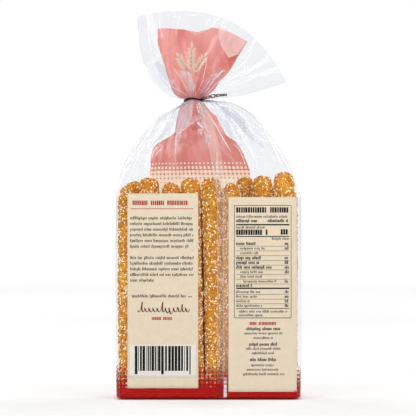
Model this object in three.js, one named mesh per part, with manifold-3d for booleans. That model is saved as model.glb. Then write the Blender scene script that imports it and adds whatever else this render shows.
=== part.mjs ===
// A standing clear film bag of breadsticks: a flat base, straight walls, shoulders gathered
// into a neck, a twist tie round the neck, and the film's tail fanned out above it.
// Millimetres, +Z up. Origin: centre of the base. The side with the back seam faces -Y.

import * as THREE from 'three';
import { mergeVertices } from 'three/addons/utils/BufferGeometryUtils.js';
import Module from 'manifold-3d';

// ---- driving dimensions -------------------------------------------------------------------

const BODY_WIDTH = 129;
const BODY_DEPTH = 46;
const BODY_CORNER = 11;          // radius of the four upright corners
const BASE_EDGE = 2.2;           // rounding where the walls turn under
const WALL_TOP = 141;            // the walls stand straight up to here
const STICK_PITCH = 13.8;        // the film dips this often, between the sticks behind it
const STICK_DIP = 0.5;

const NECK_X = -9.5;             // the neck is gathered left of the middle
const NECK_RADIUS = 5;
const NECK_BOTTOM = 204.8;
const NECK_TOP = 213;

const SHOULDER = {
  left: { reach: 18, top: 208, curl: 1.75, drop: 0.83 },
  right: { reach: 11, top: 210.5, curl: 1.6, drop: 0.9 },
  depth: { reach: 8.2, top: 206, curl: 1.7, drop: 0.8 },
};
const SHOULDER_PLEATS = 13;
const SHOULDER_PLEAT_DEPTH = 0.1; // share of the distance from the neck's axis

const TAIL_FOOT = 211;           // the height that the tail's folds fan out from
const TAIL_MIDDLE = THREE.MathUtils.degToRad(67.3);
const TAIL_SPREAD = THREE.MathUtils.degToRad(56.7);  // each way from the middle
const TAIL_DROOP = {             // how far each side edge swings out again near the neck
  left: THREE.MathUtils.degToRad(56),
  right: THREE.MathUtils.degToRad(-12),
};
const TAIL_LENGTH = 58.5;        // from the neck to the cut edge at the middle
const TAIL_LEAN = 2.7;           // the cut edge is this much longer on the left
const TAIL_EARS = 9.2;           // and this much longer at both corners
const TAIL_HALF_THICKNESS = 3.6;
const TAIL_PLEATS = 5;
const TAIL_PLEAT_HEIGHT = 4.5;

const TIE_INNER = 6;
const TIE_THICKNESS = 0.8;
const TIE_WIDTH = 1.7;
const TIE_TILT = THREE.MathUtils.degToRad(-20);      // the seam side stands higher
const TIE_Z = 209.3;
const TIE_END_START = new THREE.Vector3(-4.9, -4.7, 210.9);
const TIE_END_BEND = new THREE.Vector3(4, -8.6, 211.8);
const TIE_END_TIP = new THREE.Vector3(13, -9.4, 214);
const TIE_END_LONG = 1.25;       // half width of the two twisted strips together
const TIE_END_SHORT = 0.6;
const TIE_END_TURNS = 3.5;

const RING_POINTS = 104;

// ---- surfaces from rows of points ---------------------------------------------------------

// Joins rows of points, each row a closed ring running anticlockwise, into one closed solid.
// The first ring is closed by a fan and the last by rungs from each point to its mirror point.
function loft(rows) {
  const count = rows[0].length;
  const positions = rows.flat().flatMap((p) => [p.x, p.y, p.z]);
  const index = [];
  for (let row = 0; row < rows.length - 1; row += 1) {
    for (let k = 0; k < count; k += 1) {
      const a = row * count + k;
      const b = row * count + ((k + 1) % count);
      index.push(a, b, b + count, a, b + count, a + count);
    }
  }
  const middle = rows[0].reduce((sum, p) => sum.add(p), new THREE.Vector3()).divideScalar(count);
  const centre = positions.length / 3;
  positions.push(middle.x, middle.y, middle.z);
  for (let k = 0; k < count; k += 1) {
    index.push(centre, (k + 1) % count, k);
  }
  const last = (rows.length - 1) * count;
  for (let k = 0; k < count / 2; k += 1) {
    const near = last + k;
    const far = last + ((count - k) % count);
    const farNext = last + count - k - 1;
    if (farNext !== near + 1) index.push(near, near + 1, farNext);
    if (k > 0) index.push(near, farNext, far);
  }
  const geometry = new THREE.BufferGeometry();
  geometry.setAttribute('position', new THREE.Float32BufferAttribute(positions, 3));
  geometry.setIndex(index);
  return geometry;
}

// A point of a rounded rectangle with half sides w and d, at the share f of its way round,
// starting at the middle of the +X side.
function roundedRectangle(f, w, d, radius) {
  const side = 2 * (d - radius);
  const face = 2 * (w - radius);
  const arc = (Math.PI / 2) * radius;
  let way = f * (2 * side + 2 * face + 4 * arc) + side / 2;
  const stretches = [
    [side, (t) => [w, -d + radius + t * side]],
    [arc, (t) => turn(w - radius, d - radius, t)],
    [face, (t) => [w - radius - t * face, d]],
    [arc, (t) => turn(radius - w, d - radius, t + 1)],
    [side, (t) => [-w, d - radius - t * side]],
    [arc, (t) => turn(radius - w, radius - d, t + 2)],
    [face, (t) => [radius - w + t * face, -d]],
    [arc, (t) => turn(w - radius, radius - d, t + 3)],
    [side, (t) => [w, -d + radius + t * side]],
  ];
  function turn(x, y, quarters) {
    const angle = (quarters * Math.PI) / 2;
    return [x + radius * Math.cos(angle), y + radius * Math.sin(angle)];
  }
  for (const [length, at] of stretches) {
    if (way <= length) return at(way / length);
    way -= length;
  }
  return [w, 0];
}

// ---- the film bag -------------------------------------------------------------------------

const ringShares = Array.from({ length: RING_POINTS }, (_, k) => k / RING_POINTS);
const halfWidth = BODY_WIDTH / 2;
const halfDepth = BODY_DEPTH / 2;

// A level ring of the body, drawn in by `inset` all round; the broad faces dip between sticks.
function bodyRing(z, inset, dip) {
  return ringShares.map((f) => {
    const [x, y] = roundedRectangle(f, halfWidth - inset, halfDepth - inset, BODY_CORNER - inset);
    const flat = Math.abs(y) > halfDepth - inset - 0.01 ? dip : 0;
    const flute = flat * 0.5 * (1 - Math.cos((2 * Math.PI * x) / STICK_PITCH));
    return new THREE.Vector3(x, y - Math.sign(y) * flute, z);
  });
}

// How far a shoulder line stands out at height share h: full at 0, its reach at 1.
function shoulderReach({ reach, curl, drop }, full, h) {
  return reach + (full - reach) * (1 - h ** curl) ** drop;
}

// A ring of the shoulders at height share h: the rectangle's corners open into an oval while
// the ring closes towards the neck, and pleats deepen on the way.
function shoulderRing(h) {
  const left = shoulderReach(SHOULDER.left, halfWidth, h);
  const right = shoulderReach(SHOULDER.right, halfWidth, h);
  const depth = shoulderReach(SHOULDER.depth, halfDepth, h);
  const oval = Math.min(1, h * 1.3);
  return ringShares.map((f) => {
    const angle = 2 * Math.PI * f;
    const [boxX, boxY] = roundedRectangle(f, halfWidth, halfDepth, BODY_CORNER);
    const unitX = THREE.MathUtils.lerp(boxX / halfWidth, Math.cos(angle), oval);
    const unitY = THREE.MathUtils.lerp(boxY / halfDepth, Math.sin(angle), oval);
    const pleat = 1 - SHOULDER_PLEAT_DEPTH * h * h * (0.5 - 0.5 * Math.cos(SHOULDER_PLEATS * angle));
    const sideTop = unitX > 0 ? SHOULDER.right.top : SHOULDER.left.top;
    const top = THREE.MathUtils.lerp(SHOULDER.depth.top, sideTop, unitX * unitX);
    const x = unitX * (unitX > 0 ? right : left);
    const shift = NECK_X * h * (1 - Math.abs(unitX));
    return new THREE.Vector3(x * pleat + shift, unitY * depth * pleat, WALL_TOP + (top - WALL_TOP) * h);
  });
}

function neckRing(z) {
  return ringShares.map((f) => {
    const angle = 2 * Math.PI * f;
    return new THREE.Vector3(
      NECK_X + NECK_RADIUS * Math.cos(angle),
      NECK_RADIUS * Math.sin(angle),
      z,
    );
  });
}

// A ring of the tail at the share s of the way to its cut edge: a flat fan whose two faces
// run in and out together in pleats.
function tailRing(s) {
  return ringShares.map((f) => {
    const angle = 2 * Math.PI * f;
    const across = f <= 0.5 ? f * 4 - 1 : 3 - f * 4;
    const droop = (across > 0 ? TAIL_DROOP.left : TAIL_DROOP.right) * (1 - s) * across * across;
    const direction = TAIL_MIDDLE + TAIL_SPREAD * across + droop;
    const length = (TAIL_LENGTH + TAIL_LEAN * across + TAIL_EARS * across * across) * s;
    const round = NECK_RADIUS * (1 - s) ** 2;
    const thick = THREE.MathUtils.lerp(NECK_RADIUS, TAIL_HALF_THICKNESS, s);
    const pleat = TAIL_PLEAT_HEIGHT * s * Math.cos(Math.PI * TAIL_PLEATS * (across + 1));
    return new THREE.Vector3(
      NECK_X + round * Math.cos(angle) + length * Math.cos(direction),
      thick * Math.sin(angle) + pleat * (1 - across ** 8),
      THREE.MathUtils.lerp(NECK_TOP, TAIL_FOOT, s) + length * Math.sin(direction),
    );
  });
}

function bagGeometry() {
  const shares = (count, from) => Array.from({ length: count }, (_, k) => (k + from) / count);
  return loft([
    bodyRing(0, BASE_EDGE, 0),
    bodyRing(BASE_EDGE * 0.3, BASE_EDGE * 0.3, 0),
    bodyRing(BASE_EDGE, 0, STICK_DIP),
    bodyRing(WALL_TOP * 0.9, 0, STICK_DIP),
    ...shares(17, 0).map(shoulderRing),
    shoulderRing(0.985),
    neckRing(NECK_BOTTOM),
    neckRing(NECK_TOP),
    ...shares(12, 1).map(tailRing),
  ]);
}

// ---- the twist tie ------------------------------------------------------------------------

// The strip round the neck: a flat band, tilted.
function tieBand() {
  const outer = TIE_INNER + TIE_THICKNESS;
  const half = TIE_WIDTH / 2;
  const profile = [
    new THREE.Vector2(TIE_INNER, -half),
    new THREE.Vector2(outer, -half),
    new THREE.Vector2(outer, half),
    new THREE.Vector2(TIE_INNER, half),
    new THREE.Vector2(TIE_INNER, -half),
  ];
  const band = new THREE.LatheGeometry(profile, 48);
  band.rotateX(Math.PI / 2 + TIE_TILT);
  band.translate(NECK_X, 0, TIE_Z);
  return band;
}

// The two strips twisted together: an oval carried along a curve while it turns.
function tieEnds() {
  const curve = new THREE.QuadraticBezierCurve3(TIE_END_START, TIE_END_BEND, TIE_END_TIP);
  const steps = 42;
  const sides = 10;
  const rows = Array.from({ length: steps + 1 }, (_, step) => {
    const t = step / steps;
    const along = curve.getTangent(t);
    const flat = new THREE.Vector3(0, 0, 1).cross(along).normalize();
    const upright = along.clone().cross(flat);
    const twist = (0.5 + t * TIE_END_TURNS) * Math.PI;
    return Array.from({ length: sides }, (_unused, k) => {
      const angle = (2 * Math.PI * k) / sides;
      const u = TIE_END_LONG * Math.cos(angle);
      const v = TIE_END_SHORT * Math.sin(angle);
      return curve.getPoint(t)
        .addScaledVector(flat, u * Math.cos(twist) - v * Math.sin(twist))
        .addScaledVector(upright, u * Math.sin(twist) + v * Math.cos(twist));
    });
  });
  return loft(rows);
}

const wasm = await Module();
wasm.setup();

function toSolid(geometry) {
  const bare = geometry.clone();
  bare.deleteAttribute('normal');
  bare.deleteAttribute('uv');
  const merged = mergeVertices(bare, 1e-4);
  return new wasm.Manifold(new wasm.Mesh({
    numProp: 3,
    vertProperties: merged.attributes.position.array,
    triVerts: Uint32Array.from(merged.index.array),
  }));
}

function toGeometry(solid) {
  const mesh = solid.getMesh();
  const geometry = new THREE.BufferGeometry();
  geometry.setAttribute('position', new THREE.Float32BufferAttribute(mesh.vertProperties, 3));
  geometry.setIndex(Array.from(mesh.triVerts));
  return geometry;
}

// ---- the object ---------------------------------------------------------------------------

function piece(name, geometry, material) {
  geometry.computeVertexNormals();
  const mesh = new THREE.Mesh(geometry, material);
  mesh.name = name;
  return mesh;
}

const film = new THREE.MeshStandardMaterial({ color: 0xe8eaf0, roughness: 0.12, metalness: 0 });
const tieStrip = new THREE.MeshStandardMaterial({ color: 0x17120f, roughness: 0.45, metalness: 0 });

const pack = new THREE.Group();
pack.add(piece('bag', bagGeometry(), film));
pack.add(piece('twist_tie', toGeometry(toSolid(tieBand()).add(toSolid(tieEnds()))), tieStrip));

export default pack;
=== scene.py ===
import bpy
import numpy as np
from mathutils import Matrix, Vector


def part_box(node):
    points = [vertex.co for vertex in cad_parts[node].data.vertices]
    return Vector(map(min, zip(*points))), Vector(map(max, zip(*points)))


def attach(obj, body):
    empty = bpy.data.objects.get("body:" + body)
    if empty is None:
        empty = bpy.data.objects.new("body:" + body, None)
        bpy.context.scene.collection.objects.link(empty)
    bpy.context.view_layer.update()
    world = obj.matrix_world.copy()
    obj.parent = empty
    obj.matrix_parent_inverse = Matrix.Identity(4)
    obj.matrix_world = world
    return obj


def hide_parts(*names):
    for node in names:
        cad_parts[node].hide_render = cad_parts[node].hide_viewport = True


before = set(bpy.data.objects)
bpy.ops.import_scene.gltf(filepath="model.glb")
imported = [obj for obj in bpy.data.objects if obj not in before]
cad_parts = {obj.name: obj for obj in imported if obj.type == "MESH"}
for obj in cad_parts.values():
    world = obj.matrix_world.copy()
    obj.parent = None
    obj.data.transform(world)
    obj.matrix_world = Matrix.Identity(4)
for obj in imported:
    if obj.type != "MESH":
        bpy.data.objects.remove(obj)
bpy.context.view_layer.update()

# ---- the breadsticks ----------------------------------------------------------------------
# Sticks of yeasted dough, rolled by hand to a finger's thickness, coated in sesame and baked
# until crisp. They stand on end in three rows, so their domed tips make an uneven skyline,
# and no two are quite as thick, tall or straight.

MM = 0.001
bag_low, bag_high = (np.array(corner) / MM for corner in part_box("bag"))
BODY_WIDE = bag_high[0] - bag_low[0]
BODY_DEEP = bag_high[1] - bag_low[1]

STICK_FOOT = 2.1              # the sticks stand this far above the floor, on the folded base
TIP_LONG = 6.5                # a tip rounds off over this length
WALL_ROOM = 1.35              # between a stick's crust and the film
SIDE_BOW, DEPTH_BOW = 0.5, 0.25
SWELL = 0.022                 # slow swellings, as a share of the radius
ROUGH = 0.15                  # quick relief
KNOBS, KNOB_LIMIT = 0.3, 0.25  # lumps near the ends, and how far they may stand out
STICK_COLUMNS, STICK_RINGS = 36, 110

# Each row: which side of the pack it stands on, then the sticks from left to right as (place
# of the top, place of the foot, height of the tip, thickness at the top, thickness at the
# foot, bluntness of the tip).
STICK_ROWS = (
    (-1, ((-57.2, -56.8, 145.5, 12.4, 12.2, 2.6), (-41.8, -42.4, 155.4, 13.6, 13.2, 2.4),
          (-26.4, -26.4, 151.8, 12.6, 13.0, 2.5), (-12.7, -9.6, 155.0, 13.2, 13.0, 3.2),
          (1.7, 3.7, 154.6, 13.7, 10.7, 5.0), (16.2, 16.8, 151.2, 12.4, 12.8, 3.0),
          (38.0, 36.4, 156.6, 13.6, 13.0, 3.0), (53.0, 53.2, 159.3, 14.4, 13.6, 2.0))),
    (0, ((-52.4, -52.0, 153.0, 13.0, 12.6, 2.2), (-38.6, -38.0, 143.0, 13.2, 13.4, 2.5),
         (-22.0, -23.2, 147.5, 13.4, 13.0, 3.0), (-7.4, -8.0, 149.0, 13.0, 13.2, 2.4),
         (7.2, 8.0, 148.0, 13.3, 13.0, 2.8), (26.3, 24.6, 156.0, 12.9, 13.2, 2.4),
         (42.4, 42.0, 150.0, 13.5, 13.0, 2.6), (56.6, 56.4, 147.0, 12.7, 12.4, 3.0))),
    (1, ((-57.0, -56.6, 150.0, 12.6, 12.2, 2.5), (-43.6, -43.0, 154.4, 13.4, 13.0, 3.4),
         (-29.4, -29.0, 143.5, 13.0, 13.4, 2.4), (-14.6, -15.6, 147.0, 13.3, 13.0, 2.6),
         (0.4, -0.8, 149.0, 13.2, 12.8, 2.2), (15.4, 14.8, 146.5, 13.0, 13.2, 3.0),
         (36.0, 31.0, 151.0, 13.4, 13.0, 2.4), (54.6, 54.2, 154.5, 13.4, 12.8, 2.8))),
)


def grid_faces(rows, columns, close_start=False, close_end=False, loop=False):
    """Quads between rows of points that each run round a ring; a row collapses to one extra
    point, after all the rest, where an end is closed: the start's point first, then the end's.
    In a loop the last row joins the first."""
    row, column = np.meshgrid(np.arange(rows if loop else rows - 1), np.arange(columns),
                              indexing="ij")
    beside = (column + 1) % columns
    above = (row + 1) % rows
    quads = np.stack([row * columns + column, row * columns + beside,
                      above * columns + beside, above * columns + column], -1)
    ring = np.arange(columns)
    after = (ring + 1) % columns
    last = (rows - 1) * columns
    pole = rows * columns
    triangles = []
    if close_start:
        triangles.append(np.stack([after, ring, np.full(columns, pole)], -1))
        pole += 1
    if close_end:
        triangles.append(np.stack([last + ring, last + after, np.full(columns, pole)], -1))
    triangles = np.concatenate(triangles) if triangles else np.zeros((0, 3), int)
    return quads.reshape(-1, 4), triangles


def piece(name, points, quads, triangles=None, smooth=True):
    """An object at the origin from points in millimetres, quads and triangles."""
    triangles = np.zeros((0, 3), int) if triangles is None else triangles
    mesh = bpy.data.meshes.new(name)
    mesh.vertices.add(len(points))
    mesh.vertices.foreach_set("co", (np.asarray(points) * MM).astype(np.float32).ravel())
    corners = np.concatenate([quads.ravel(), triangles.ravel()]).astype(np.int32)
    starts = np.concatenate([np.arange(len(quads)) * 4,
                             quads.size + np.arange(len(triangles)) * 3]).astype(np.int32)
    mesh.loops.add(len(corners))
    mesh.loops.foreach_set("vertex_index", corners)
    mesh.polygons.add(len(starts))
    mesh.polygons.foreach_set("loop_start", starts)
    mesh.polygons.foreach_set("use_smooth", np.full(len(starts), smooth))
    mesh.update(calc_edges=True)
    mesh.validate()
    made = bpy.data.objects.new(name, mesh)
    bpy.context.scene.collection.objects.link(made)
    return made


def ripples(rng, across, along, turns, waves, count):
    """Uneven relief from -1 to 1: a sum of cosines, each with a whole number of turns across
    (so that it closes on itself), some waves along, and a phase of its own."""
    total = 0
    for _ in range(count):
        m = rng.integers(-turns, turns + 1)
        n = rng.uniform(-waves, waves)
        total = total + np.cos(m * across + 2 * np.pi * n * along + rng.uniform(0, 2 * np.pi))
    return total / np.sqrt(count)


def stick_axis(stick, y, along):
    """The middle of a stick at the share along of its length: a straight lean, with one shallow
    bow to the side."""
    top_x, foot_x, tip = stick[:3]
    bow = np.sin(np.pi * along)
    x = foot_x + (top_x - foot_x) * along + SIDE_BOW * bow * np.sin(top_x)
    z = STICK_FOOT + (tip - STICK_FOOT) * along
    return x, y + DEPTH_BOW * bow * np.cos(3 * top_x), z


def stick_surface(stick, y, seed, angle, along):
    """Points of the crust: a circle of the stick's radius carried up its axis, swollen and
    pinched by slow ripples, roughened by quick ones and lumpy near its ends; towards each end
    the radius falls as the root of one minus a power, which gives a blunt dome."""
    rng = np.random.default_rng(seed)
    x, y_axis, z = stick_axis(stick, y, along)
    length = stick[2] - STICK_FOOT
    from_end = np.minimum(along, 1 - along) * length
    dome = (1 - np.clip(1 - from_end / TIP_LONG, 0, 1) ** stick[5]) ** 0.5
    swell = 1 + SWELL * ripples(rng, angle, along, 2, 4, 6)
    rough = ROUGH * ripples(rng, angle, along, 8, 34, 20)
    knobs = KNOBS * ripples(rng, angle, along, 3, 26, 8) * np.clip(1.6 - from_end / 8, 0, 1)
    half = (stick[4] + (stick[3] - stick[4]) * along) / 2
    radius = (half * swell + rough + np.minimum(knobs, KNOB_LIMIT)) * dome
    return np.stack([x + radius * np.cos(angle), y_axis + radius * np.sin(angle), z], -1)


def make_stick(name, stick, y, seed):
    """The grid of a stick: rows crowd towards both tips as half a cosine wave."""
    even = np.linspace(0, 1, STICK_RINGS + 2)[1:-1]
    share = 0.35 * even + 0.65 * (0.5 - 0.5 * np.cos(np.pi * even))
    angle = np.linspace(0, 2 * np.pi, STICK_COLUMNS, endpoint=False)
    angles, along = np.meshgrid(angle, share)
    points = stick_surface(stick, y, seed, angles, along).reshape(-1, 3)
    ends = np.array([stick_axis(stick, y, 0.0), stick_axis(stick, y, 1.0)])
    quads, triangles = grid_faces(STICK_RINGS, STICK_COLUMNS, close_start=True, close_end=True)
    return piece(name, np.concatenate([points, ends]), quads, triangles)


def join_pack(made, slot, *finishes):
    """Gives a piece its finishes and fixes it to the pack's one body. The slot is not used."""
    for finish in finishes:
        made.data.materials.append(finish.material)
    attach(made, "root")
    return made


def linear(red, green, blue):
    """A colour given as 0 to 255 on screen, as the shader's linear light."""
    screen = np.array([red, green, blue]) / 255
    light = np.where(screen <= 0.04045, screen / 12.92, ((screen + 0.055) / 1.055) ** 2.4)
    return (*light.tolist(), 1.0)


class Wire:
    """One output of a shader node. Arithmetic on it adds Math nodes, so a mask is written as
    the expression it is."""

    def __init__(self, nodes, socket):
        self.nodes = nodes
        self.socket = socket

    def joined(self, operation, *values):
        """A Math node of the operation on the values, which this wire may be one of."""
        return self.nodes.node("ShaderNodeMath", {"operation": operation}, dict(enumerate(values)))

    def __add__(self, other):
        return self.joined("ADD", self, other)

    def __radd__(self, other):
        return self.joined("ADD", other, self)

    def __sub__(self, other):
        return self.joined("SUBTRACT", self, other)

    def __rsub__(self, other):
        return self.joined("SUBTRACT", other, self)

    def __mul__(self, other):
        return self.joined("MULTIPLY", self, other)

    def __rmul__(self, other):
        return self.joined("MULTIPLY", other, self)

    def __truediv__(self, other):
        return self.joined("DIVIDE", self, other)

    def __pow__(self, other):
        return self.joined("POWER", self, other)

    def __lt__(self, other):
        return self.joined("LESS_THAN", self, other)

    def __gt__(self, other):
        return self.joined("GREATER_THAN", self, other)

    def held(self):
        """The value kept between 0 and 1."""
        return self.nodes.node("ShaderNodeClamp", {}, {0: self})

    def spread(self, low, high):
        """0 below low, 1 above high, and an even rise between."""
        return ((self - low) / (high - low)).held()


class Nodes:
    """A node tree being wired. Its node method adds any node."""

    def __init__(self, owner, shader):
        owner.use_nodes = True
        self.tree = owner.node_tree
        self.shader = self.tree.nodes[shader]

    def feed(self, socket, wire):
        """Links a wire to the shader's own socket."""
        self.tree.links.new(wire.socket, self.shader.inputs[socket])

    def node(self, kind, settings, inputs, out=0):
        """Adds a node: its settings first, a ramp's stops among them, then its sockets."""
        made = self.tree.nodes.new(kind)
        for key, value in settings.items():
            if key == "stops":
                ramp = made.color_ramp
                while len(ramp.elements) < len(value):
                    ramp.elements.new(0.5)
                for element, (place, colour) in zip(ramp.elements, value):
                    element.position = place
                    element.color = colour
            else:
                setattr(made, key, value)
        for key, value in inputs.items():
            if isinstance(value, Wire):
                self.tree.links.new(value.socket, made.inputs[key])
            else:
                made.inputs[key].default_value = value
        return Wire(self, made.outputs[out])


class Finish(Nodes):
    """A material being made, from the constants of its shader's sockets, with _ for a space."""

    def __init__(self, name, **constants):
        self.material = bpy.data.materials.new(name)
        super().__init__(self.material, "Principled BSDF")
        for socket, value in constants.items():
            self.shader.inputs[socket.replace("_", " ")].default_value = value

    def mix(self, factor, a, b):
        """Colour a where the factor is 0, b where it is 1."""
        return self.node("ShaderNodeMix", {"data_type": "RGBA"}, {0: factor, 6: a, 7: b}, 2)

    def place(self):
        """Where the point is, in metres: the object's own coordinates."""
        return self.node("ShaderNodeTexCoord", {}, {}, "Object")

    def ordinate(self, axis, vector=None):
        """How far along X, Y or Z the point is."""
        vector = self.place() if vector is None else vector
        return self.node("ShaderNodeSeparateXYZ", {}, {0: vector}, axis)

    def noise(self, scale, detail=2.0, rough=0.5, vector=None):
        """Cloudy noise about 0.5, so many cells to the metre."""
        vector = self.place() if vector is None else vector
        return self.node("ShaderNodeTexNoise", {},
                         {"Vector": vector, "Scale": scale, "Detail": detail, "Roughness": rough})

    def bump(self, height, distance, strength=1.0):
        """A normal tilted as by relief of this height, whose full height is the distance."""
        return self.node("ShaderNodeBump", {},
                         {"Height": height, "Distance": distance, "Strength": strength})


CRUST_GOLD = (255, 181, 50)
CRUST_BROWN = (228, 136, 24)
CRUST_PALE = (252, 208, 116)
CRUST_DARK = (116, 54, 10)
BROWNED_TIPS = (0.142, 0.158)  # the crust browns between these heights, in metres


def crust_finish():
    """Baked crust: gold where it is thick, browner in drifts and at the tips, freckled with
    pale flour and dark bubbles no bigger than a seed, and dry to the touch."""
    crust = Finish("baked_crust", Roughness=0.6, Specular_IOR_Level=0.25)
    patches = crust.noise(70.0, 3.0, 0.6).spread(0.36, 0.66)
    grain = crust.noise(780.0, 3.0, 0.65)
    flecks = crust.noise(1100.0, 2.0, 0.6).spread(0.56, 0.74)
    pores = crust.noise(2200.0, 2.0, 0.6)
    tips = crust.ordinate("Z").spread(*BROWNED_TIPS)
    gold = crust.mix(patches * (1 - 0.55 * tips), linear(*CRUST_BROWN), linear(*CRUST_GOLD))
    speckled = crust.mix(flecks * 0.35, gold, linear(*CRUST_PALE))
    dark = grain.spread(0.51, 0.66) * 0.8
    crust.feed("Base Color", crust.mix(dark, speckled, linear(*CRUST_DARK)))
    crust.feed("Normal", crust.bump(pores * 0.35 + grain * 0.65, 0.0009))
    return crust


crust = crust_finish()
sticks = []
for depth_row, row in STICK_ROWS:
    for place, stick in enumerate(row):
        y = depth_row * (BODY_DEEP / 2 - WALL_ROOM - max(stick[3:5]) / 2)
        seed = 100 * (depth_row + 2) + place
        made = make_stick(f"breadstick_{depth_row + 2}_{place + 1}", stick, y, seed)
        join_pack(made, "crust", crust)
        sticks.append((stick, y, seed, depth_row))

# ---- the sesame ---------------------------------------------------------------------------
# Hulled sesame stuck to the dough before baking: flat drops about 2 mm long, cream, straw or
# toasted gold. They lie close, in drifts, at every angle. Behind the printed panels, where
# nobody sees them, they are left out.

SEED_LONG = 2.0
SEED_WIDE = 0.98
SEED_THICK = 0.74
SEED_APART = 1.08             # the nearest that two seeds' middles lie
TIP_APART = 1.6               # and on a tip, which was dipped less
SEEDS_TRIED = 7000            # on each stick
TIPS_FROM = 128.0             # above this height the seeds show all round a stick
NEAR_WINDOW = (-16, 22)       # the clear film between the panels, left to right
FAR_STRIP = (-36, 24)         # the display strip on the other side
FLANKS_FROM = 50              # the outermost sticks show their sides
SEED_SUNK = 0.16              # a seed's middle stands this far out of the crust


def seed_shape():
    """A drop lying along X: two rings of six points between a blunt end and a pointed one."""
    turn = np.linspace(0, 2 * np.pi, 6, endpoint=False)
    rings = [np.stack([np.full(6, x * SEED_LONG / 2), w * SEED_WIDE / 2 * np.cos(turn),
                       w * SEED_THICK / 2 * np.sin(turn)], -1)
             for x, w in ((-0.42, 1.0), (0.42, 0.72))]
    tips = np.array([[-SEED_LONG / 2, 0, 0], [SEED_LONG / 2, 0, 0]])
    return np.concatenate(rings + [tips])


def in_sight(depth_row, at, out):
    """Whether a seed at a place, facing out, is seen: anywhere near the tips, and lower down
    behind the clear windows and on the flanks, where it doesn't face into the pack."""
    x, z = at[:, 0], at[:, 2]
    window = (depth_row == -1) & (x > NEAR_WINDOW[0]) & (x < NEAR_WINDOW[1])
    display = (depth_row == 1) & ((x < FAR_STRIP[0]) | (x > FAR_STRIP[1]))
    seen = (z > TIPS_FROM) | window | display | (np.abs(x) > FLANKS_FROM)
    if depth_row == 0:
        turned_in = out[:, 0] * np.sign(x) < 0.2
    else:
        turned_in = -depth_row * out[:, 1] > 0.35
    return seen & ~(turned_in & (z < TIPS_FROM))


def sesame_places():
    """Seeds thrown at each stick, with a few more at its tip: a throw is kept if it is seen, if
    the drift there is thick enough, and if no kept seed lies too near. Each row of the result
    is a seed's place, its outward direction and a direction round the stick."""
    rng = np.random.default_rng(21)
    rows = []
    for stick, y, seed, depth_row in sticks:
        angle = rng.uniform(0, 2 * np.pi, SEEDS_TRIED)
        along = rng.uniform(0.004, 0.996, SEEDS_TRIED)
        on_dome = rng.uniform(size=SEEDS_TRIED) < 0.06
        along = np.where(on_dome, 1 - 0.016 * rng.uniform(size=SEEDS_TRIED) ** 2, along)
        drift = ripples(np.random.default_rng(seed + 7), angle, along, 2, 9, 5)
        at = stick_surface(stick, y, seed, angle, along)
        step = 1e-3
        round_way = stick_surface(stick, y, seed, angle + step, along) - at
        up_way = stick_surface(stick, y, seed, angle, along + step * 0.1) - at
        out = np.cross(round_way, up_way)
        out /= np.linalg.norm(out, axis=1, keepdims=True)
        top = np.clip((at[:, 2] - stick[2] + 14) / 6, 0, 1)
        apart = SEED_APART + (TIP_APART - SEED_APART) * top
        thick_there = drift > rng.uniform(-1.9, 1.1, SEEDS_TRIED) - 2 * top
        wanted = in_sight(depth_row, at, out) & thick_there
        kept = []
        for k in np.flatnonzero(wanted):
            if not kept or np.min(np.sum((at[kept] - at[k]) ** 2, 1)) > apart[k] ** 2:
                kept.append(k)
        rows.append(np.concatenate([at[kept], out[kept], round_way[kept]], 1))
    return np.concatenate(rows)


def make_seeds(name, places, rng):
    """The seed shape at each place, pressed a little into the crust, turned at random about the
    outward direction and tipped by a few degrees, in one mesh."""
    count = len(places)
    at, out, round_way = places[:, :3], places[:, 3:6], places[:, 6:]
    side = round_way / np.linalg.norm(round_way, axis=1, keepdims=True)
    up = np.cross(out, side)
    turn = rng.uniform(0, 2 * np.pi, count)[:, None]
    along = np.cos(turn) * side + np.sin(turn) * up + out * rng.normal(0, 0.12, (count, 1))
    along /= np.linalg.norm(along, axis=1, keepdims=True)
    across = np.cross(out, along)
    across /= np.linalg.norm(across, axis=1, keepdims=True)
    lift = np.cross(along, across)
    size = rng.uniform(0.78, 1.12, (count, 1, 1))
    shape = seed_shape()[None] * size
    centre = at + lift * SEED_SUNK
    points = (centre[:, None] + shape[..., :1] * along[:, None]
              + shape[..., 1:2] * across[:, None] + shape[..., 2:] * lift[:, None])
    quads, triangles = grid_faces(2, 6, close_start=True, close_end=True)
    shift = (np.arange(count) * shape.shape[1])[:, None, None]
    return piece(name, points.reshape(-1, 3), (quads[None] + shift).reshape(-1, 4),
                 (triangles[None] + shift).reshape(-1, 3))


def seed_finish(name, pale, deep, painted_glow):
    """Sesame: cream that deepens towards gold in patches smaller than a seed, faintly oily. The
    seed also gives off painted light, an emission in its palest colour that brightens it."""
    seed = Finish(name, Roughness=0.42, IOR=1.47, Emission_Color=pale, Emission_Strength=painted_glow)
    shade = seed.noise(380.0, 2.0).spread(0.34, 0.66)
    seed.feed("Base Color", seed.mix(shade, pale, deep))
    return seed


# Each roast: its share of the seeds, from and to, its two colours and the strength of its
# painted light, an emission that brightens the seeds.
ROASTS = (
    ("sesame_pale", 0.0, 0.38, (255, 246, 216), (254, 232, 184), 0.3),
    ("sesame_straw", 0.38, 0.7, (250, 218, 154), (236, 186, 106), 0.04),
    ("sesame_toasted", 0.7, 1.0, (222, 158, 74), (196, 124, 44), 0.0),
)
places = sesame_places()
seed_rng = np.random.default_rng(8)
roast = seed_rng.uniform(size=len(places))
for name, lightest, darkest, pale, deep, painted_glow in ROASTS:
    chosen = (roast >= lightest) & (roast < darkest)
    seeds = make_seeds(name, places[chosen], seed_rng)
    join_pack(seeds, "seed", seed_finish(name, linear(*pale), linear(*deep), painted_glow))

# ---- the film's form ----------------------------------------------------------------------
# One tube of clear film, folded into a flat base, standing straight over the sticks, gathered
# from its shoulders into a narrow neck left of the middle, and fanned out above it. Every
# sheet of film and print below is read off these two surfaces: the bag under the tie and the
# tail over it.

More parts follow.
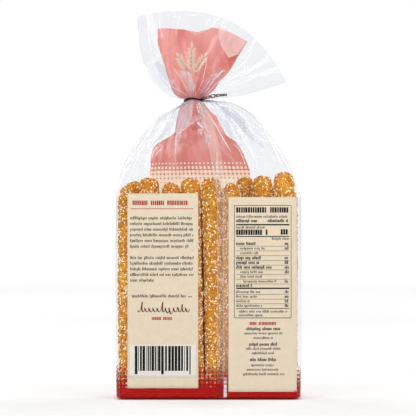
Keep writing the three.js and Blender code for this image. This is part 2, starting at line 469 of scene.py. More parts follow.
WALL_TOP = 141.0
CORNER = 8.5
BASE_EDGE = 2.2
BASE_LIFT = 0.9               # the base is hollow: its long edges clear the floor by this
NECK_X = -10.9
NECK_THICK = 6.0
TIE_Z = 210.2
TIE_RISE = 1.2                # the tie is bent up this far over the near and far sides
SHOULDER_RISE = 65.0          # the shoulders' height as the level below counts it

# A shoulder line: how far out it still stands at the neck, and how it curls and drops.
LEFT_SHOULDER = (18.0, 1.7, 0.645)
RIGHT_SHOULDER = (11.0, 1.35, 0.6)
BROAD_SHOULDER = (8.2, 1.7, 0.8)
LEFT_TOP, RIGHT_TOP, BROAD_TOP = 206.0, 209.4, 207.8

DIP = 0.45                    # the film sinks this far between two sticks
BELLY = 0.6                   # the narrow sides bulge by this
SLACK = 0.14                  # the walls hang this far in, and wave by as much
NECK_PLEAT = 0.22

# Round the outline from the middle of the seam side, anticlockwise from above.
half_wide, half_deep = BODY_WIDE / 2 + 0.6, BODY_DEEP / 2
arc = np.linspace(0, np.pi / 2, 24)
corner = np.stack([CORNER * np.sin(arc), CORNER * (1 - np.cos(arc))], -1)
start = np.array([half_wide - CORNER, -half_deep])
quarter = np.concatenate([[[0.0, -half_deep]], start + corner, [[half_wide, 0.0]]])
right_side = np.concatenate([quarter, (quarter * [1, -1])[::-1][1:]])
outline = np.concatenate([right_side, (right_side * [-1, 1])[::-1][1:]])
outline_way = np.concatenate([[0], np.cumsum(np.linalg.norm(np.diff(outline, axis=0), axis=1))])
ROUND = outline_way[-1]       # the film's flat width all round

near_sticks = np.array([(s[0] + s[1]) / 2 for s in STICK_ROWS[0][1]])
far_sticks = np.array([(s[0] + s[1]) / 2 for s in STICK_ROWS[2][1]])


def sag(x, sticks_at):
    """0 where the film lies on a stick, 1 halfway to the next: a cosine between each pair."""
    phase = np.interp(x, sticks_at, np.arange(len(sticks_at)))
    return 0.5 - 0.5 * np.cos(2 * np.pi * phase)


def tent(distance, width):
    """A crisp crease: 1 on its line, falling straight to 0 at its width."""
    return np.clip(1 - np.abs(distance) / width, 0, 1)


def ease(x):
    """0 up to 0, 1 from 1 on, and between them three squares less two cubes."""
    x = np.clip(x, 0, 1)
    return x * x * (3 - 2 * x)


def in_or_out(rng, low, high, count):
    """Heights from low to high, each standing out of the film or sunk into it."""
    return rng.choice([-1, 1], count) * rng.uniform(low, high, count)


fold_rng = np.random.default_rng(11)
FOLDS = 84
fold_at = (np.arange(FOLDS) + fold_rng.uniform(-0.4, 0.4, FOLDS)) / FOLDS
fold_wide = fold_rng.uniform(0.005, 0.02, FOLDS)
fold_high = in_or_out(fold_rng, 0.5, 1.3, FOLDS)
fold_from = fold_rng.uniform(0.0, 0.8, FOLDS)
fold_lean = fold_rng.uniform(-0.05, 0.05, FOLDS)

CREASES = 120
crease_u = fold_rng.uniform(0, 1, CREASES) * ROUND
crease_z = fold_rng.uniform(150, 200, CREASES)
crease_turn = np.pi / 2 + fold_rng.normal(0, 0.7, CREASES)
crease_long = fold_rng.uniform(6, 26, CREASES)
crease_wide = fold_rng.uniform(1.4, 5.5, CREASES)
crease_high = in_or_out(fold_rng, 0.2, 0.75, CREASES)


def wrapped(share):
    """The share of a round, counted the shorter way, from -0.5 to 0.5."""
    return (share + 0.5) % 1 - 0.5


def shoulder_relief(f, h):
    """How far the gathered film stands out, in millimetres: radial folds that start at their own
    height and sharpen towards the neck, and short creases lying in other directions."""
    relief = np.zeros(np.broadcast(f, h).shape)
    grow = 0.3 + 1.5 * h ** 1.3 - 1.3 * ease((h - 0.84) / 0.16)
    for at, wide, high, begin, lean in zip(fold_at, fold_wide, fold_high, fold_from, fold_lean):
        away = wrapped(f - at - lean * (1 - h))
        relief += high * grow * tent(away, wide) * ease((h - begin) / (1.02 - begin))
    level = WALL_TOP + SHOULDER_RISE * h
    for u0, z0, turn, long, wide, high in zip(crease_u, crease_z, crease_turn, crease_long,
                                              crease_wide, crease_high):
        du, dz = wrapped(f - u0 / ROUND) * ROUND, level - z0
        along = du * np.cos(turn) + dz * np.sin(turn)
        across = dz * np.cos(turn) - du * np.sin(turn)
        relief += high * tent(across, wide) * ease(1.2 - np.abs(along) / long)
    return relief * ease(h / 0.12)


def shoulder_reach(full, reach, curl, drop, h):
    """How far a shoulder line stands out at height share h: the whole half side at 0, its reach
    at 1, along a curve that leaves the wall upright."""
    return reach + (full - reach) * (1 - h ** curl) ** drop


def bag_base(f, level):
    """The bag without folds, at the share f round it. Up to the wall's top the level is the
    height, and the ring is the outline; below zero the film runs in under the base. Above, the
    ring turns into an oval that closes towards the neck, and the last stretch dips into the
    gather under the tie."""
    f, level = np.broadcast_arrays(f, level)
    way = (f % 1) * ROUND
    box_x = np.interp(way, outline_way, outline[:, 0])
    box_y = np.interp(way, outline_way, outline[:, 1])
    edge = np.clip(level / BASE_EDGE, 0, 1) * np.pi / 2
    tuck = BASE_EDGE * (1 - np.sin(edge))
    under = np.clip(-level, 0, 1)
    shrink_x = (1 - tuck / half_wide) * (1 - under)
    shrink_y = (1 - tuck / half_deep) * (1 - under)
    z = np.where(level < BASE_EDGE, BASE_EDGE * (1 - np.cos(edge)), level) + 0.05
    h = np.clip((level - WALL_TOP) / SHOULDER_RISE, 0, 1)
    angle = 2 * np.pi * (f - 0.25)
    oval = np.clip(h * 1.3, 0, 1)
    unit_x = box_x / half_wide * (1 - oval) + np.cos(angle) * oval
    unit_y = box_y / half_deep * (1 - oval) + np.sin(angle) * oval
    left = shoulder_reach(half_wide, *LEFT_SHOULDER, h)
    right = shoulder_reach(half_wide, *RIGHT_SHOULDER, h)
    deep = shoulder_reach(half_deep, *BROAD_SHOULDER, h)
    side_top = np.where(unit_x > 0, RIGHT_TOP, LEFT_TOP)
    broad_top = BROAD_TOP + 1.4 * np.sin(angle) ** 2
    top = broad_top + (side_top - broad_top) * unit_x ** 2
    x = unit_x * np.where(unit_x > 0, right, left) + NECK_X * h * (1 - np.abs(unit_x))
    y = unit_y * deep
    z = np.where(level > WALL_TOP, WALL_TOP + (top - WALL_TOP) * h, z)
    gather = ease((level - WALL_TOP - SHOULDER_RISE) / 2.0)
    neck_x = NECK_X + NECK_THICK * np.cos(angle)
    neck_y = NECK_THICK * np.sin(angle)
    x = (x * shrink_x) * (1 - gather) + neck_x * gather
    y = (y * shrink_y) * (1 - gather) + neck_y * gather
    climb = np.clip((level - WALL_TOP - SHOULDER_RISE - 2) / 6.0, 0, 1)
    tied = TIE_Z + TIE_RISE * np.sin(angle) ** 2
    z = z * (1 - gather) + (tied - 1.0 + 2.2 * climb) * gather
    hollow = BASE_LIFT * (1 - np.abs(x / half_wide) ** 5) * ease(1 - level / 5)
    return np.stack([x, y, z + hollow], -1)


def out_of(surface, f, level, step_f=4e-4, step_level=0.15):
    """The outward direction: across the film's two ways, by differences."""
    ahead = surface(f + step_f, level) - surface(f - step_f, level)
    above = surface(f, level + step_level) - surface(f, level - step_level)
    out = np.cross(ahead, above)
    return out / np.maximum(np.linalg.norm(out, axis=-1, keepdims=True), 1e-12)


def bag_folded(f, level):
    """The bag's film: the base form, sunk a little between the sticks on its broad sides, with
    the folds of the shoulders and the neck's fine gathers standing out of it."""
    f, level = np.broadcast_arrays(f, level)
    base = bag_base(f, level)
    h = np.clip((level - WALL_TOP) / SHOULDER_RISE, 0, 1)
    out = out_of(bag_base, f, level)
    near = base[..., 1] < 0
    dips = np.where(near, sag(base[..., 0], near_sticks), sag(base[..., 0], far_sticks))
    flat = ease((np.abs(out[..., 1]) - 0.75) / 0.25)
    upright = ease((level - 2) / 14) * ease(1 - (h - 0.02) / 0.3)
    drum = np.sin(2 * np.pi * (3 * f + level / 70)) * np.sin(np.pi * level / 150) ** 2
    depth = -DIP * dips * flat * upright - np.where(level < WALL_TOP, SLACK * (1 + drum), 0)
    belly = BELLY * np.sin(np.pi * np.clip(level / WALL_TOP, 0, 1)) * (1 - flat)
    edge_on = (1 - np.abs(out[..., 1])) ** 2
    depth = depth + belly + shoulder_relief(f, h) * (1 - 0.75 * edge_on)
    neck = ease((level - WALL_TOP - SHOULDER_RISE + 1) / 2)
    depth = depth * (1 - neck) + neck * NECK_PLEAT * np.cos(2 * np.pi * 23 * f)
    depth = np.where(level < 0, 0, depth)
    return base + out * depth[..., None]


# The tail over the tie: a fan of pleated film.
TAIL_FOOT = 211.0
TAIL_MIDDLE = np.radians(67.3)
TAIL_SPREAD = np.radians(56.7)
TAIL_HALF_THICK = 2.4
TAIL_LONG = 61.3              # from the tie to the cut edge, at the fan's middle

tail_rng = np.random.default_rng(5)
TAIL_FOLDS = 17
tail_at = np.linspace(-0.9, 0.92, TAIL_FOLDS) + tail_rng.uniform(-0.05, 0.05, TAIL_FOLDS)
tail_wide = tail_rng.uniform(0.05, 0.16, TAIL_FOLDS)
PLEATS = 26
pleat_at = tail_rng.uniform(-0.97, 0.97, PLEATS)
pleat_wide = tail_rng.uniform(0.03, 0.10, PLEATS)
pleat_high = in_or_out(tail_rng, 0.5, 1.5, PLEATS)
pleat_end = tail_rng.uniform(0.25, 0.7, PLEATS)
tail_high = np.where(np.arange(TAIL_FOLDS) % 2, 1, -1) * tail_rng.uniform(0.8, 2.6, TAIL_FOLDS)
TAIL_CREASES = 60
mark_a = tail_rng.uniform(-0.95, 0.95, TAIL_CREASES)
mark_s = tail_rng.uniform(0.2, 1.0, TAIL_CREASES)
mark_turn = tail_rng.normal(0, 0.9, TAIL_CREASES)
mark_long = tail_rng.uniform(5, 16, TAIL_CREASES)
mark_wide = tail_rng.uniform(1.2, 5, TAIL_CREASES)
mark_high = in_or_out(tail_rng, 0.2, 0.8, TAIL_CREASES)
mark_face = tail_rng.choice([-1, 1], TAIL_CREASES)


def fan_length(across):
    """From the tie to the cut edge: longer towards both corners, as powers of the share."""
    more = np.where(across > 0, 9.6 * np.abs(across) ** 2.45, 6.2 * np.abs(across) ** 3.6)
    return TAIL_LONG + more


def fan_heading(across, s):
    """Which way the fan runs: spread evenly about its middle, and drooping at the sides near
    the tie."""
    droop = np.radians(np.where(across > 0, 56, -12)) * np.clip(1 - s, 0, 1) ** 1.2 * across ** 2
    return TAIL_MIDDLE + TAIL_SPREAD * across + droop


def tail_point(across, face, s):
    """The tail's film at the share across its fan (-1 right, 1 left), on its near face (-1) or
    its far one (1), at the share s of the way to its cut edge: a fan of directions, whose side
    edges swing out near the neck, with both faces running in and out together in crisp pleats.
    face between -1 and 1 closes the sides."""
    across, face, s = np.broadcast_arrays(across, face, s)
    direction = fan_heading(across, s)
    length = fan_length(across) * s
    neck = (1 - s) ** 2 * NECK_THICK * 1.06
    x = NECK_X - neck * across + length * np.cos(direction)
    open_way = np.sqrt(np.clip(1 - across ** 2, 0, 1))
    foot = TIE_Z + 1.1 + TIE_RISE * open_way ** 2
    z = foot * (1 - s) + TAIL_FOOT * s + length * np.sin(direction)
    y = face * open_way * (NECK_THICK * (1 - s) ** 2 + TAIL_HALF_THICK * s)
    for at, wide, high in zip(tail_at, tail_wide, tail_high):
        ridge = tent(across - at - 0.06 * np.sin(5 * s + 9 * at), wide)
        y = y + high * s ** 1.1 * ease(ridge) * ease((1 - np.abs(across)) / 0.1)
    for at, wide, high, end in zip(pleat_at, pleat_wide, pleat_high, pleat_end):
        swell = ease(s / 0.1) * ease((end - s) / end)
        y = y + high * swell * tent(across - at, wide) * ease((1 - np.abs(across)) / 0.03)
    for a0, s0, turn, long, wide, high, side in zip(mark_a, mark_s, mark_turn, mark_long,
                                                    mark_wide, mark_high, mark_face):
        du, dz = (across - a0) * 60 * s, (s - s0) * 60
        along = du * np.sin(turn) + dz * np.cos(turn)
        crosswise = du * np.cos(turn) - dz * np.sin(turn)
        mark = tent(crosswise, wide) * ease(1.2 - np.abs(along) / long) * ease(s / 0.3)
        y = y + np.where(face * side > 0, high, 0) * mark
    return np.stack([x, y, z], -1)


# ---- the clear film -----------------------------------------------------------------------
# Clear polypropylene, thirty microns thick: a single skin that is nearly invisible face on,
# greys where it turns away, and glints along its creases. It is folded shut under the base
# and left open at the top of the tail.

FILM_TINT = (238, 241, 248)
PASSED_LIGHT = (0.944, 0.950, 0.961, 1)


def film_finish(name, haze, mirror=0.8, roughness=0.16, tint=FILM_TINT, **painted_glow):
    """Clear film: light passes, but for a few parts in a hundred that the two faces send back
    like a mirror. That share climbs where the film is seen edge on, and above the sticks in
    uneven patches where it is scuffed; it falls away near the base. haze adds to it above the
    base, less mirror makes it milky, and the last holds the sockets of painted light: an
    emission that stands in for light soaking through."""
    film = Finish(name, Metallic=mirror, Roughness=roughness, IOR=1.5,
                  Base_Color=linear(*tint), **painted_glow)
    slack = film.bump(film.noise(130.0, 2.0, 0.5), 0.0006, 0.7)
    film.feed("Normal", slack)
    edge = film.node("ShaderNodeLayerWeight", {}, {"Blend": 0.5, "Normal": slack}, "Facing")
    stretched = film.node("ShaderNodeMapping", {"vector_type": "POINT"},
                          {0: film.place(), "Scale": (1.0, 1.0, 0.45)})
    scuffs = film.noise(42.0, 4.0, 0.6, stretched).spread(0.42, 0.72)
    height = film.ordinate("Z")
    over_sticks = height.spread(0.152, 0.185)
    veil = haze * height.spread(0.01, 0.028) if haze else 0.0
    cover = veil + 0.004 + over_sticks * (0.03 + 0.07 * scuffs)
    cover = cover + (0.06 + 0.3 * height.spread(0.02, 0.07)) * edge ** 3.0
    clear = film.node("ShaderNodeBsdfTransparent", {}, {"Color": PASSED_LIGHT}, "BSDF")
    shown = film.node("ShaderNodeMixShader", {},
                      {0: cover.held(), 1: clear, 2: Wire(film, film.shader.outputs[0])})
    film.tree.links.new(shown.socket, film.tree.nodes["Material Output"].inputs["Surface"])
    return film


clear_film = film_finish("clear_film", 0.0)

BAG_COLUMNS = 500
levels = np.concatenate([
    [-0.999, -0.66, -0.33, -0.001],
    np.linspace(0, BASE_EDGE, 4)[1:],
    np.linspace(6, 138, 34),
    WALL_TOP + SHOULDER_RISE * np.linspace(0, 1, 118),
    WALL_TOP + SHOULDER_RISE + np.linspace(0.25, 8, 16),
])
shares, level_grid = np.meshgrid(np.arange(BAG_COLUMNS) / BAG_COLUMNS, levels)
bag_points = bag_folded(shares, level_grid).reshape(-1, 3)
base_middle = [[0, 0, 0.05 + BASE_LIFT]]
quads, triangles = grid_faces(len(levels), BAG_COLUMNS, close_start=True)
bag_film = piece("film_bag", np.concatenate([bag_points, base_middle]), quads, triangles)
join_pack(bag_film, "clear_film", clear_film)
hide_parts("bag")

# The tail is the same tube: across its far face, then back across the near one.
TAIL_COLUMNS = 360
tail_share = np.arange(TAIL_COLUMNS) / TAIL_COLUMNS
tail_across = np.where(tail_share < 0.5, tail_share * 4 - 1, 3 - tail_share * 4)
tail_face = np.where(tail_share < 0.5, 1.0, -1.0)
tail_s = np.linspace(0, 1, 150)
across_grid, s_grid = np.meshgrid(tail_across, tail_s)
tail_points = tail_point(across_grid, tail_face[None], s_grid).reshape(-1, 3)
tail_film = piece("film_tail", tail_points, grid_faces(len(tail_s), TAIL_COLUMNS)[0])
join_pack(tail_film, "clear_film", clear_film)

# ---- the print ----------------------------------------------------------------------------
# The film is printed on its inside, so the ink lies under the gloss: two cream panels on the
# seam side, a red base with a gingham edge all round, and a display strip that runs up the
# other side into the tail. Each field is a thin closed skin. From within, the white backing
# turns red ink to pink and leaves cream a little greyer.

INK_DEPTH = 0.12              # how far the ink lies inside the film's face
INK_THICK = 0.06
MM_PER_PX = 0.70              # where the pack's near face stands
MIDDLE_PX, FLOOR_PX = 208.5, 399.5


def across_px(pixel):
    """Millimetres right of the middle."""
    return (pixel - MIDDLE_PX) * MM_PER_PX


def up_px(pixel):
    """Millimetres above the floor."""
    return (FLOOR_PX - pixel) * MM_PER_PX


def slabs(name, outer, inner, flat):
    """Closed skins between pairs of grids of points, (how many, rows, columns, 3), in one mesh.
    The outer faces take the first material, the inner faces and the rims the second. flat
    holds each point's place on the flat film."""
    many, rows, columns = outer.shape[:3]
    count = rows * columns
    row, column = np.meshgrid(np.arange(rows - 1), np.arange(columns - 1), indexing="ij")
    a = (row * columns + column).ravel()
    faces = np.stack([a, a + 1, a + columns + 1, a + columns], -1)
    rim = np.concatenate([np.arange(columns - 1), np.arange(rows - 1) * columns + columns - 1,
                          count - 1 - np.arange(columns - 1),
                          (count - columns) - np.arange(rows - 1) * columns])
    rim_next = np.roll(rim, -1)
    walls = np.stack([rim, rim + count, rim_next + count, rim_next], -1)
    one = np.concatenate([faces, faces[:, ::-1] + count, walls])
    quads = (one[None] + 2 * count * np.arange(many)[:, None, None]).reshape(-1, 4)
    both = [outer.reshape(many, count, 3), inner.reshape(many, count, 3)]
    made = piece(name, np.concatenate(both, 1).reshape(-1, 3), quads)
    side = np.repeat([0, 1], [len(faces), len(one) - len(faces)])
    made.data.polygons.foreach_set("material_index", np.tile(side, many).astype(np.int32))
    layer = made.data.uv_layers.new(name="flat")
    spread = flat.reshape(many, count, 2)
    place = np.concatenate([spread, spread], 1).reshape(-1, 2) * MM
    layer.data.foreach_set("uv", place[quads.ravel()].astype(np.float32).ravel())
    return made


def slab(name, outer, inner, flat):
    """One closed skin between two grids of points."""
    return slabs(name, outer[None], inner[None], flat[None])


def bag_skin(name, f, level, depth=INK_DEPTH, thick=INK_THICK):
    """A layer of the bag over a grid of shares round it and levels up it: its outer face lies at
    the depth inside the film, or outside where that is negative."""
    f, level = np.broadcast_arrays(f, level)
    face = bag_folded(f, level)
    out = out_of(bag_folded, f, np.maximum(level, 0.3))
    depth, thick = (np.broadcast_to(part, f.shape)[..., None] for part in (depth, thick))
    flat = np.stack([f * ROUND, level], -1)
    return slab(name, face - out * depth, face - out * (depth + thick), flat)


def steps(low, high, size):
    """Evenly spaced places from low to high, no further apart than size."""
    return np.linspace(low, high, int(np.ceil(abs(high - low) / size)) + 1)


def ink(name, screen_colour, roughness=0.5, unevenness=0.025, painted_glow=0.0):
    """Printed ink: a flat colour with the faint cloudiness of a press. It may also give off painted
    light, an emission in its own colour that stands in for daylight coming through it from the
    far side of the pack."""
    pale = linear(*screen_colour)
    deep = linear(*(np.array(screen_colour) * (1 - unevenness)))
    made = Finish(name, Roughness=roughness, Specular_IOR_Level=0.15, Emission_Color=pale,
                  Emission_Strength=painted_glow)
    cloud = made.noise(220.0, 2.0).spread(0.3, 0.7)
    made.feed("Base Color", made.mix(cloud, pale, deep))
    return made


CREAM = (249, 231, 202)
cream_ink = ink("cream_ink", CREAM)
cream_back = ink("cream_ink_from_within", (232, 221, 203), 0.5)
LEFT_PANEL = (across_px(127.3), across_px(198.3), up_px(388.3), up_px(193.3))
RIGHT_PANEL = (across_px(228.3), 62.5, up_px(391.9), up_px(197.0))
for name, (left, right, low, high) in (("panel_left", LEFT_PANEL), ("panel_right", RIGHT_PANEL)):
    f, level = np.meshgrid(steps(left, right, 0.8) / ROUND, steps(low, high, 2.5))
    join_pack(bag_skin(name, f, level), "printed_film", cream_ink, cream_back)

# The red base runs under the pack's base and up the walls, where it breaks up into the squares
# of a gingham that shrink row by row. The web of film was formed slightly askew, so the print
# has dropped by DROP at one side of the seam.
DROP = 2.6
SEAM = (6.0, 13.7)            # the overlap's two edges, flat on the film
BAND_SOLID = up_px(390.0)
BAND_TOP = up_px(366.0)
CHECK = 2.95                  # from one gingham square to the next
RED = (196, 10, 3)
PINK = (214, 134, 125)


def gingham_cover(flat_ways, rise):
    """1 where ink is, 0 where the film is left bare, as rise goes from 0 to 1. Zigzags across
    and up run from 0 to 1 in each check. In the lower half the larger of the two must pass a
    rising limit, which leaves square holes that grow; in the upper half the smaller must,
    which leaves squares of ink that shrink, with paler threads between them. Past either end
    it is all ink or all bare."""
    half_check = CHECK * MM / 2
    x, z = (way.joined("PINGPONG", way, half_check) / half_check for way in flat_ways)
    upper = rise.spread(0.45, 0.55)
    wave = x.joined("MINIMUM", x, z) * upper + x.joined("MAXIMUM", x, z) * (1 - upper)
    within = rise.held()
    limit = (0.25 + 1.0 * within) * (1 - upper) + (0.18 + 0.55 * within) * upper
    squares = (wave - limit).spread(-0.06, 0.06)
    threads = (x.joined("MAXIMUM", x, z) - limit).spread(-0.06, 0.06) * upper * (1 - within) * 0.7
    woven = squares.joined("MAXIMUM", squares, threads)
    solid = 1 - rise.spread(-0.03, 0.0)
    return (woven * (1 - rise.spread(1.0, 1.03)) + solid).held()


def flat_place(made):
    """The two flat coordinates of the film, in metres."""
    flat = made.node("ShaderNodeUVMap", {"uv_map": "flat"}, {})
    return made.ordinate("X", flat), made.ordinate("Y", flat)


def band_finish(name, colour, roughness):
    """The base's ink: solid below, and above it the gingham, which climbs by DROP in one round."""
    made = ink(name, colour, roughness, 0.14)
    x, z = flat_place(made)
    lower = z + (ROUND * MM - x) * (DROP / ROUND)
    rise = (lower / MM - BAND_SOLID) / (BAND_TOP - BAND_SOLID)
    made.feed("Alpha", gingham_cover((x, lower), rise))
    return made


band_levels = np.concatenate([[-0.9, -0.5, -0.06], np.linspace(0, BASE_EDGE, 5)[1:],
                              steps(3.5, BAND_TOP + 1.5, 1.2)])
band_f = np.linspace(SEAM[0] / ROUND, 1 + SEAM[1] / ROUND, 420)
f, level = np.meshgrid(band_f, band_levels)
lapped = np.clip((f - 1 - SEAM[0] / ROUND) / 0.01, 0, 1)
band = bag_skin("red_base", f, level, INK_DEPTH * 2 - lapped * 0.1)
join_pack(band, "printed_film", band_finish("red_ink_base", RED, 0.35),
          band_finish("red_ink_base_from_within", PINK, 0.5))

# The display strip: cream over the sticks, a gingham edge, then red to the tail's top. Its two
# edges are given as (level, millimetres across).
STRIP_FOOT, STRIP_TOP = 8.0, 214
GINGHAM_LOW, GINGHAM_HIGH = up_px(182.5), up_px(161.0)
STRIP_LEFT = ((0, -41.2), (158, -41.9), (168.4, -41.2), (175.6, -39.8), (178.8, -37.2),
              (181.6, -32.6), (183.8, -27.6), (187, -23.8), (194, -22.9), (202.5, -20.4),
              (206, -17.2))
STRIP_RIGHT = ((0, 30.3), (160.5, 29.8), (171.5, 25.0), (178.8, 21.0), (180.6, 18.3),
               (184.3, 12.3), (197, 5.4), (202.7, -1.0), (206, -3.6))


def strip_grid(levels, columns):
    """Shares round the bag for the strip's points: on each level the far side's ring is read
    off by how far across it stands, between the strip's two edges."""
    ring = np.linspace(0.74, 0.26, 400)
    left = np.interp(levels, *np.array(STRIP_LEFT).T)
    right = np.interp(levels, *np.array(STRIP_RIGHT).T)
    spread = np.linspace(0, 1, columns)
    rows = []
    for level, x_left, x_right in zip(levels, left, right):
        x = bag_base(ring, level)[:, 0]
        rows.append(np.interp(x_left + (x_right - x_left) * spread, x, ring))
    return np.array(rows)[:, ::-1]


strip_levels = np.concatenate([steps(STRIP_FOOT, 138, 3), steps(139.5, 206, 0.6),
                               steps(206.5, STRIP_TOP, 0.6)])
f = strip_grid(strip_levels, 140)
level = np.broadcast_to(strip_levels[:, None], f.shape)
near_neck = 1 - 0.72 * ease((level - 190) / 16)
strip = bag_skin("display_strip", f, level, INK_DEPTH * 1.5 * near_neck, INK_THICK * near_neck)

# The field's painted light and shade of its folds, clouds of shade and pale threads of
# highlight, leans by this. Its shaded and lit tones are shares of the field's red, green and
# blue, and the painted shade of one deep fold is an oval, placed and sized in metres.
FIELD_LEAN = (0, 0.5, 0)
FIELD_SHADED, FIELD_LIT = (0.92, 0.74, 0.70), (1.05, 1.16, 1.18)
FOLD_SHADE_AT = (across_px(197) * MM, 0.01, up_px(129) * MM)
FOLD_SHADE_SIZE = (0.0065, 0.08, 0.0125)
FOLD_SHADE_DEEP = (0.92, 0.66, 0.58)


def strip_finish(name, field, cream, roughness, painted_glow=0.0):
    """Cream, then gingham squares of the field's colour that close up into the whole field. The
    field carries the painted light and shade of its folds: leaning clouds of shade, pale threads
    of highlight and one darker hollow of painted shade. It may also give off painted light in
    its own colours."""
    made = Finish(name, Roughness=roughness, Specular_IOR_Level=0.15, Emission_Strength=painted_glow)
    x, z = flat_place(made)
    rise = 1 - (z / MM - GINGHAM_LOW) / (GINGHAM_HIGH - GINGHAM_LOW)
    cover = gingham_cover((x, z), rise)
    lean = made.node("ShaderNodeMapping", {"vector_type": "POINT"},
                     {0: made.place(), "Rotation": FIELD_LEAN, "Scale": (1.0, 1.0, 0.4)})
    soft = made.noise(34.0, 3.0, 0.62, lean).spread(0.34, 0.66)
    threads = made.noise(150.0, 2.0, 0.6, lean).spread(0.55, 0.75)
    deep = linear(*(np.array(field) * FIELD_SHADED))
    pale = linear(*np.minimum(np.array(field) * FIELD_LIT, 255))
    red = made.mix(threads * 0.6, made.mix(soft, pale, deep), pale)
    hollow = made.node("ShaderNodeMapping", {"vector_type": "TEXTURE"},
                       {0: made.place(), "Location": FOLD_SHADE_AT, "Rotation": FIELD_LEAN,
                        "Scale": FOLD_SHADE_SIZE})
    inside = made.node("ShaderNodeTexGradient", {"gradient_type": "SPHERICAL"}, {0: hollow}, "Fac")
    shade = linear(*(np.array(field) * FOLD_SHADE_DEEP))
    red = made.mix(inside.spread(0.0, 0.6), red, shade)
    printed = made.mix(cover, linear(*cream), red)
    made.feed("Base Color", printed)
    if painted_glow:
        made.feed("Emission Color", printed)
    return made


strip_red = strip_finish("display_ink", RED, CREAM, 0.4)
# From within, the strip gives off painted light in its own colours, standing in for daylight
# through the print; the neck's gathers share it.
strip_pink = strip_finish("display_ink_from_within", PINK, (244, 238, 218), 0.5, 0.34)
join_pack(strip, "printed_film", strip_red, strip_pink)

# The strip's end in the tail, on the far face: its top edge as (share across, share up), its
# sides as (share up, share across).
TAIL_PRINT_TOP = ((-0.358, 0.914), (-0.08, 0.883), (0.155, 0.860), (0.20, 0.821),
                  (0.325, 0.770), (0.54, 0.796), (0.795, 0.841))
TAIL_PRINT_RIGHT = ((0, -0.85), (0.143, -0.72), (0.333, -0.54), (0.496, -0.5), (0.70, -0.41),
                    (0.914, -0.358))
TAIL_PRINT_LEFT = ((0, 0.97), (0.08, 0.95), (0.19, 0.883), (0.29, 0.81), (0.46, 0.78),
                   (0.72, 0.81), (0.841, 0.795))


def tail_out(across, face, s):
    """The outward direction of the tail's film."""
    across, face, s = np.broadcast_arrays(across, face, s)
    step = 2e-3
    ahead = tail_point(across + step, face, s) - tail_point(across - step, face, s)
    above = tail_point(across, face, s + step) - tail_point(across, face, s - step)
    out = np.cross(ahead, above) * face[..., None]
    return out / np.maximum(np.linalg.norm(out, axis=-1, keepdims=True), 1e-12)


p, q = np.meshgrid(np.linspace(0, 1, 120), np.linspace(0.015, 1, 110))
first_top, last_top = TAIL_PRINT_TOP[0][0], TAIL_PRINT_TOP[-1][0]
s = q * np.interp(first_top + (last_top - first_top) * p, *np.array(TAIL_PRINT_TOP).T)
right_edge = np.interp(s, *np.array(TAIL_PRINT_RIGHT).T)
left_edge = np.interp(s, *np.array(TAIL_PRINT_LEFT).T)
across = right_edge + (left_edge - right_edge) * p
face = tail_point(across, 1.0, s)
out = tail_out(across, 1.0, s)
thin = (0.3 + 0.7 * ease(s / 0.4))[..., None]
tail_print = slab("display_strip_tail", face - out * INK_DEPTH * thin,
                  face - out * (INK_DEPTH + INK_THICK) * thin,
                  np.stack([across * 40, 185 + s * 60], -1))
join_pack(tail_print, "printed_film", strip_red, strip_pink)

# ---- the small print ----------------------------------------------------------------------
# Printed over the cream: headings, paragraphs, a table and a bar pattern. None of it can be
# read: a line of type is a row of short upright strokes, gathered into words.


def on_bag(flat, depth):
    """Flat places on the film, as points at a depth inside it."""
    f, level = flat[..., 0] / ROUND, flat[..., 1]
    return bag_folded(f, level) - out_of(bag_folded, f, level) * depth


def boxes_to_grids(boxes, step=1.6):
    """Flat boxes (left, right, bottom, top) as 2 by 2 grids, large ones cut into small ones so
    that they follow the film."""
    parts = []
    for left, right, bottom, top in boxes:
        edge, height = steps(left, right, step), steps(bottom, top, 5 * step)
        parts += [(x0, x1, z0, z1) for x0, x1 in zip(edge[:-1], edge[1:])
                  for z0, z1 in zip(height[:-1], height[1:])]
    x0, x1, z0, z1 = np.array(parts).T
    corners = np.stack([x0, z0, x1, z0, x0, z1, x1, z1], -1)
    return corners.reshape(-1, 2, 2, 2)


def overprint(name, grids, finish, high=0.03, low=0.025):
    """Shapes laid over an ink field: closed skins whose face stands high above the field's, and
    whose back stays low above it."""
    outer, inner = on_bag(grids, INK_DEPTH - high - low), on_bag(grids, INK_DEPTH - low)
    return join_pack(slabs(name, outer, inner, grids), "printed_film", finish, finish)


TYPE = {                      # x-height, stroke, gap between strokes, in millimetres
    "fine": (1.25, 0.40, 0.40),
    "text": (1.5, 0.46, 0.42),
    "bold": (1.6, 0.60, 0.30),
    "caps": (2.1, 0.70, 0.36),
    "head": (3.1, 0.95, 0.42),
    "huge": (3.7, 1.20, 0.40),
}
CAPITALS = ("caps", "head", "huge")
WORD_SPACE = 0.62             # as a share of the letters' height
type_rng = np.random.default_rng(33)


def type_line(style, left_px, right_px, middle_px):
    """One line of type between two pixels: strokes of slightly uneven width; in small type some
    rise above the rest and a few hang below, and a space follows every few strokes."""
    tall, stroke, gap = TYPE[style]
    x, end = across_px(left_px), across_px(right_px)
    foot = up_px(middle_px) - tall / 2
    boxes = []
    in_word = int(type_rng.integers(5, 15))
    while x < end - stroke:
        wide = stroke * type_rng.uniform(0.8, 1.25)
        kind = 1.0 if style in CAPITALS else type_rng.uniform()
        rise = tall * (0.42 if kind < 0.24 else 0)
        hang = tall * (0.36 if 0.24 <= kind < 0.32 else 0)
        boxes.append((x, min(x + wide, end), foot - hang, foot + tall + rise))
        x += wide + gap * type_rng.uniform(0.75, 1.25)
        in_word -= 1
        if in_word == 0:
            in_word = int(type_rng.integers(4, 15))
            x += tall * WORD_SPACE
    return boxes


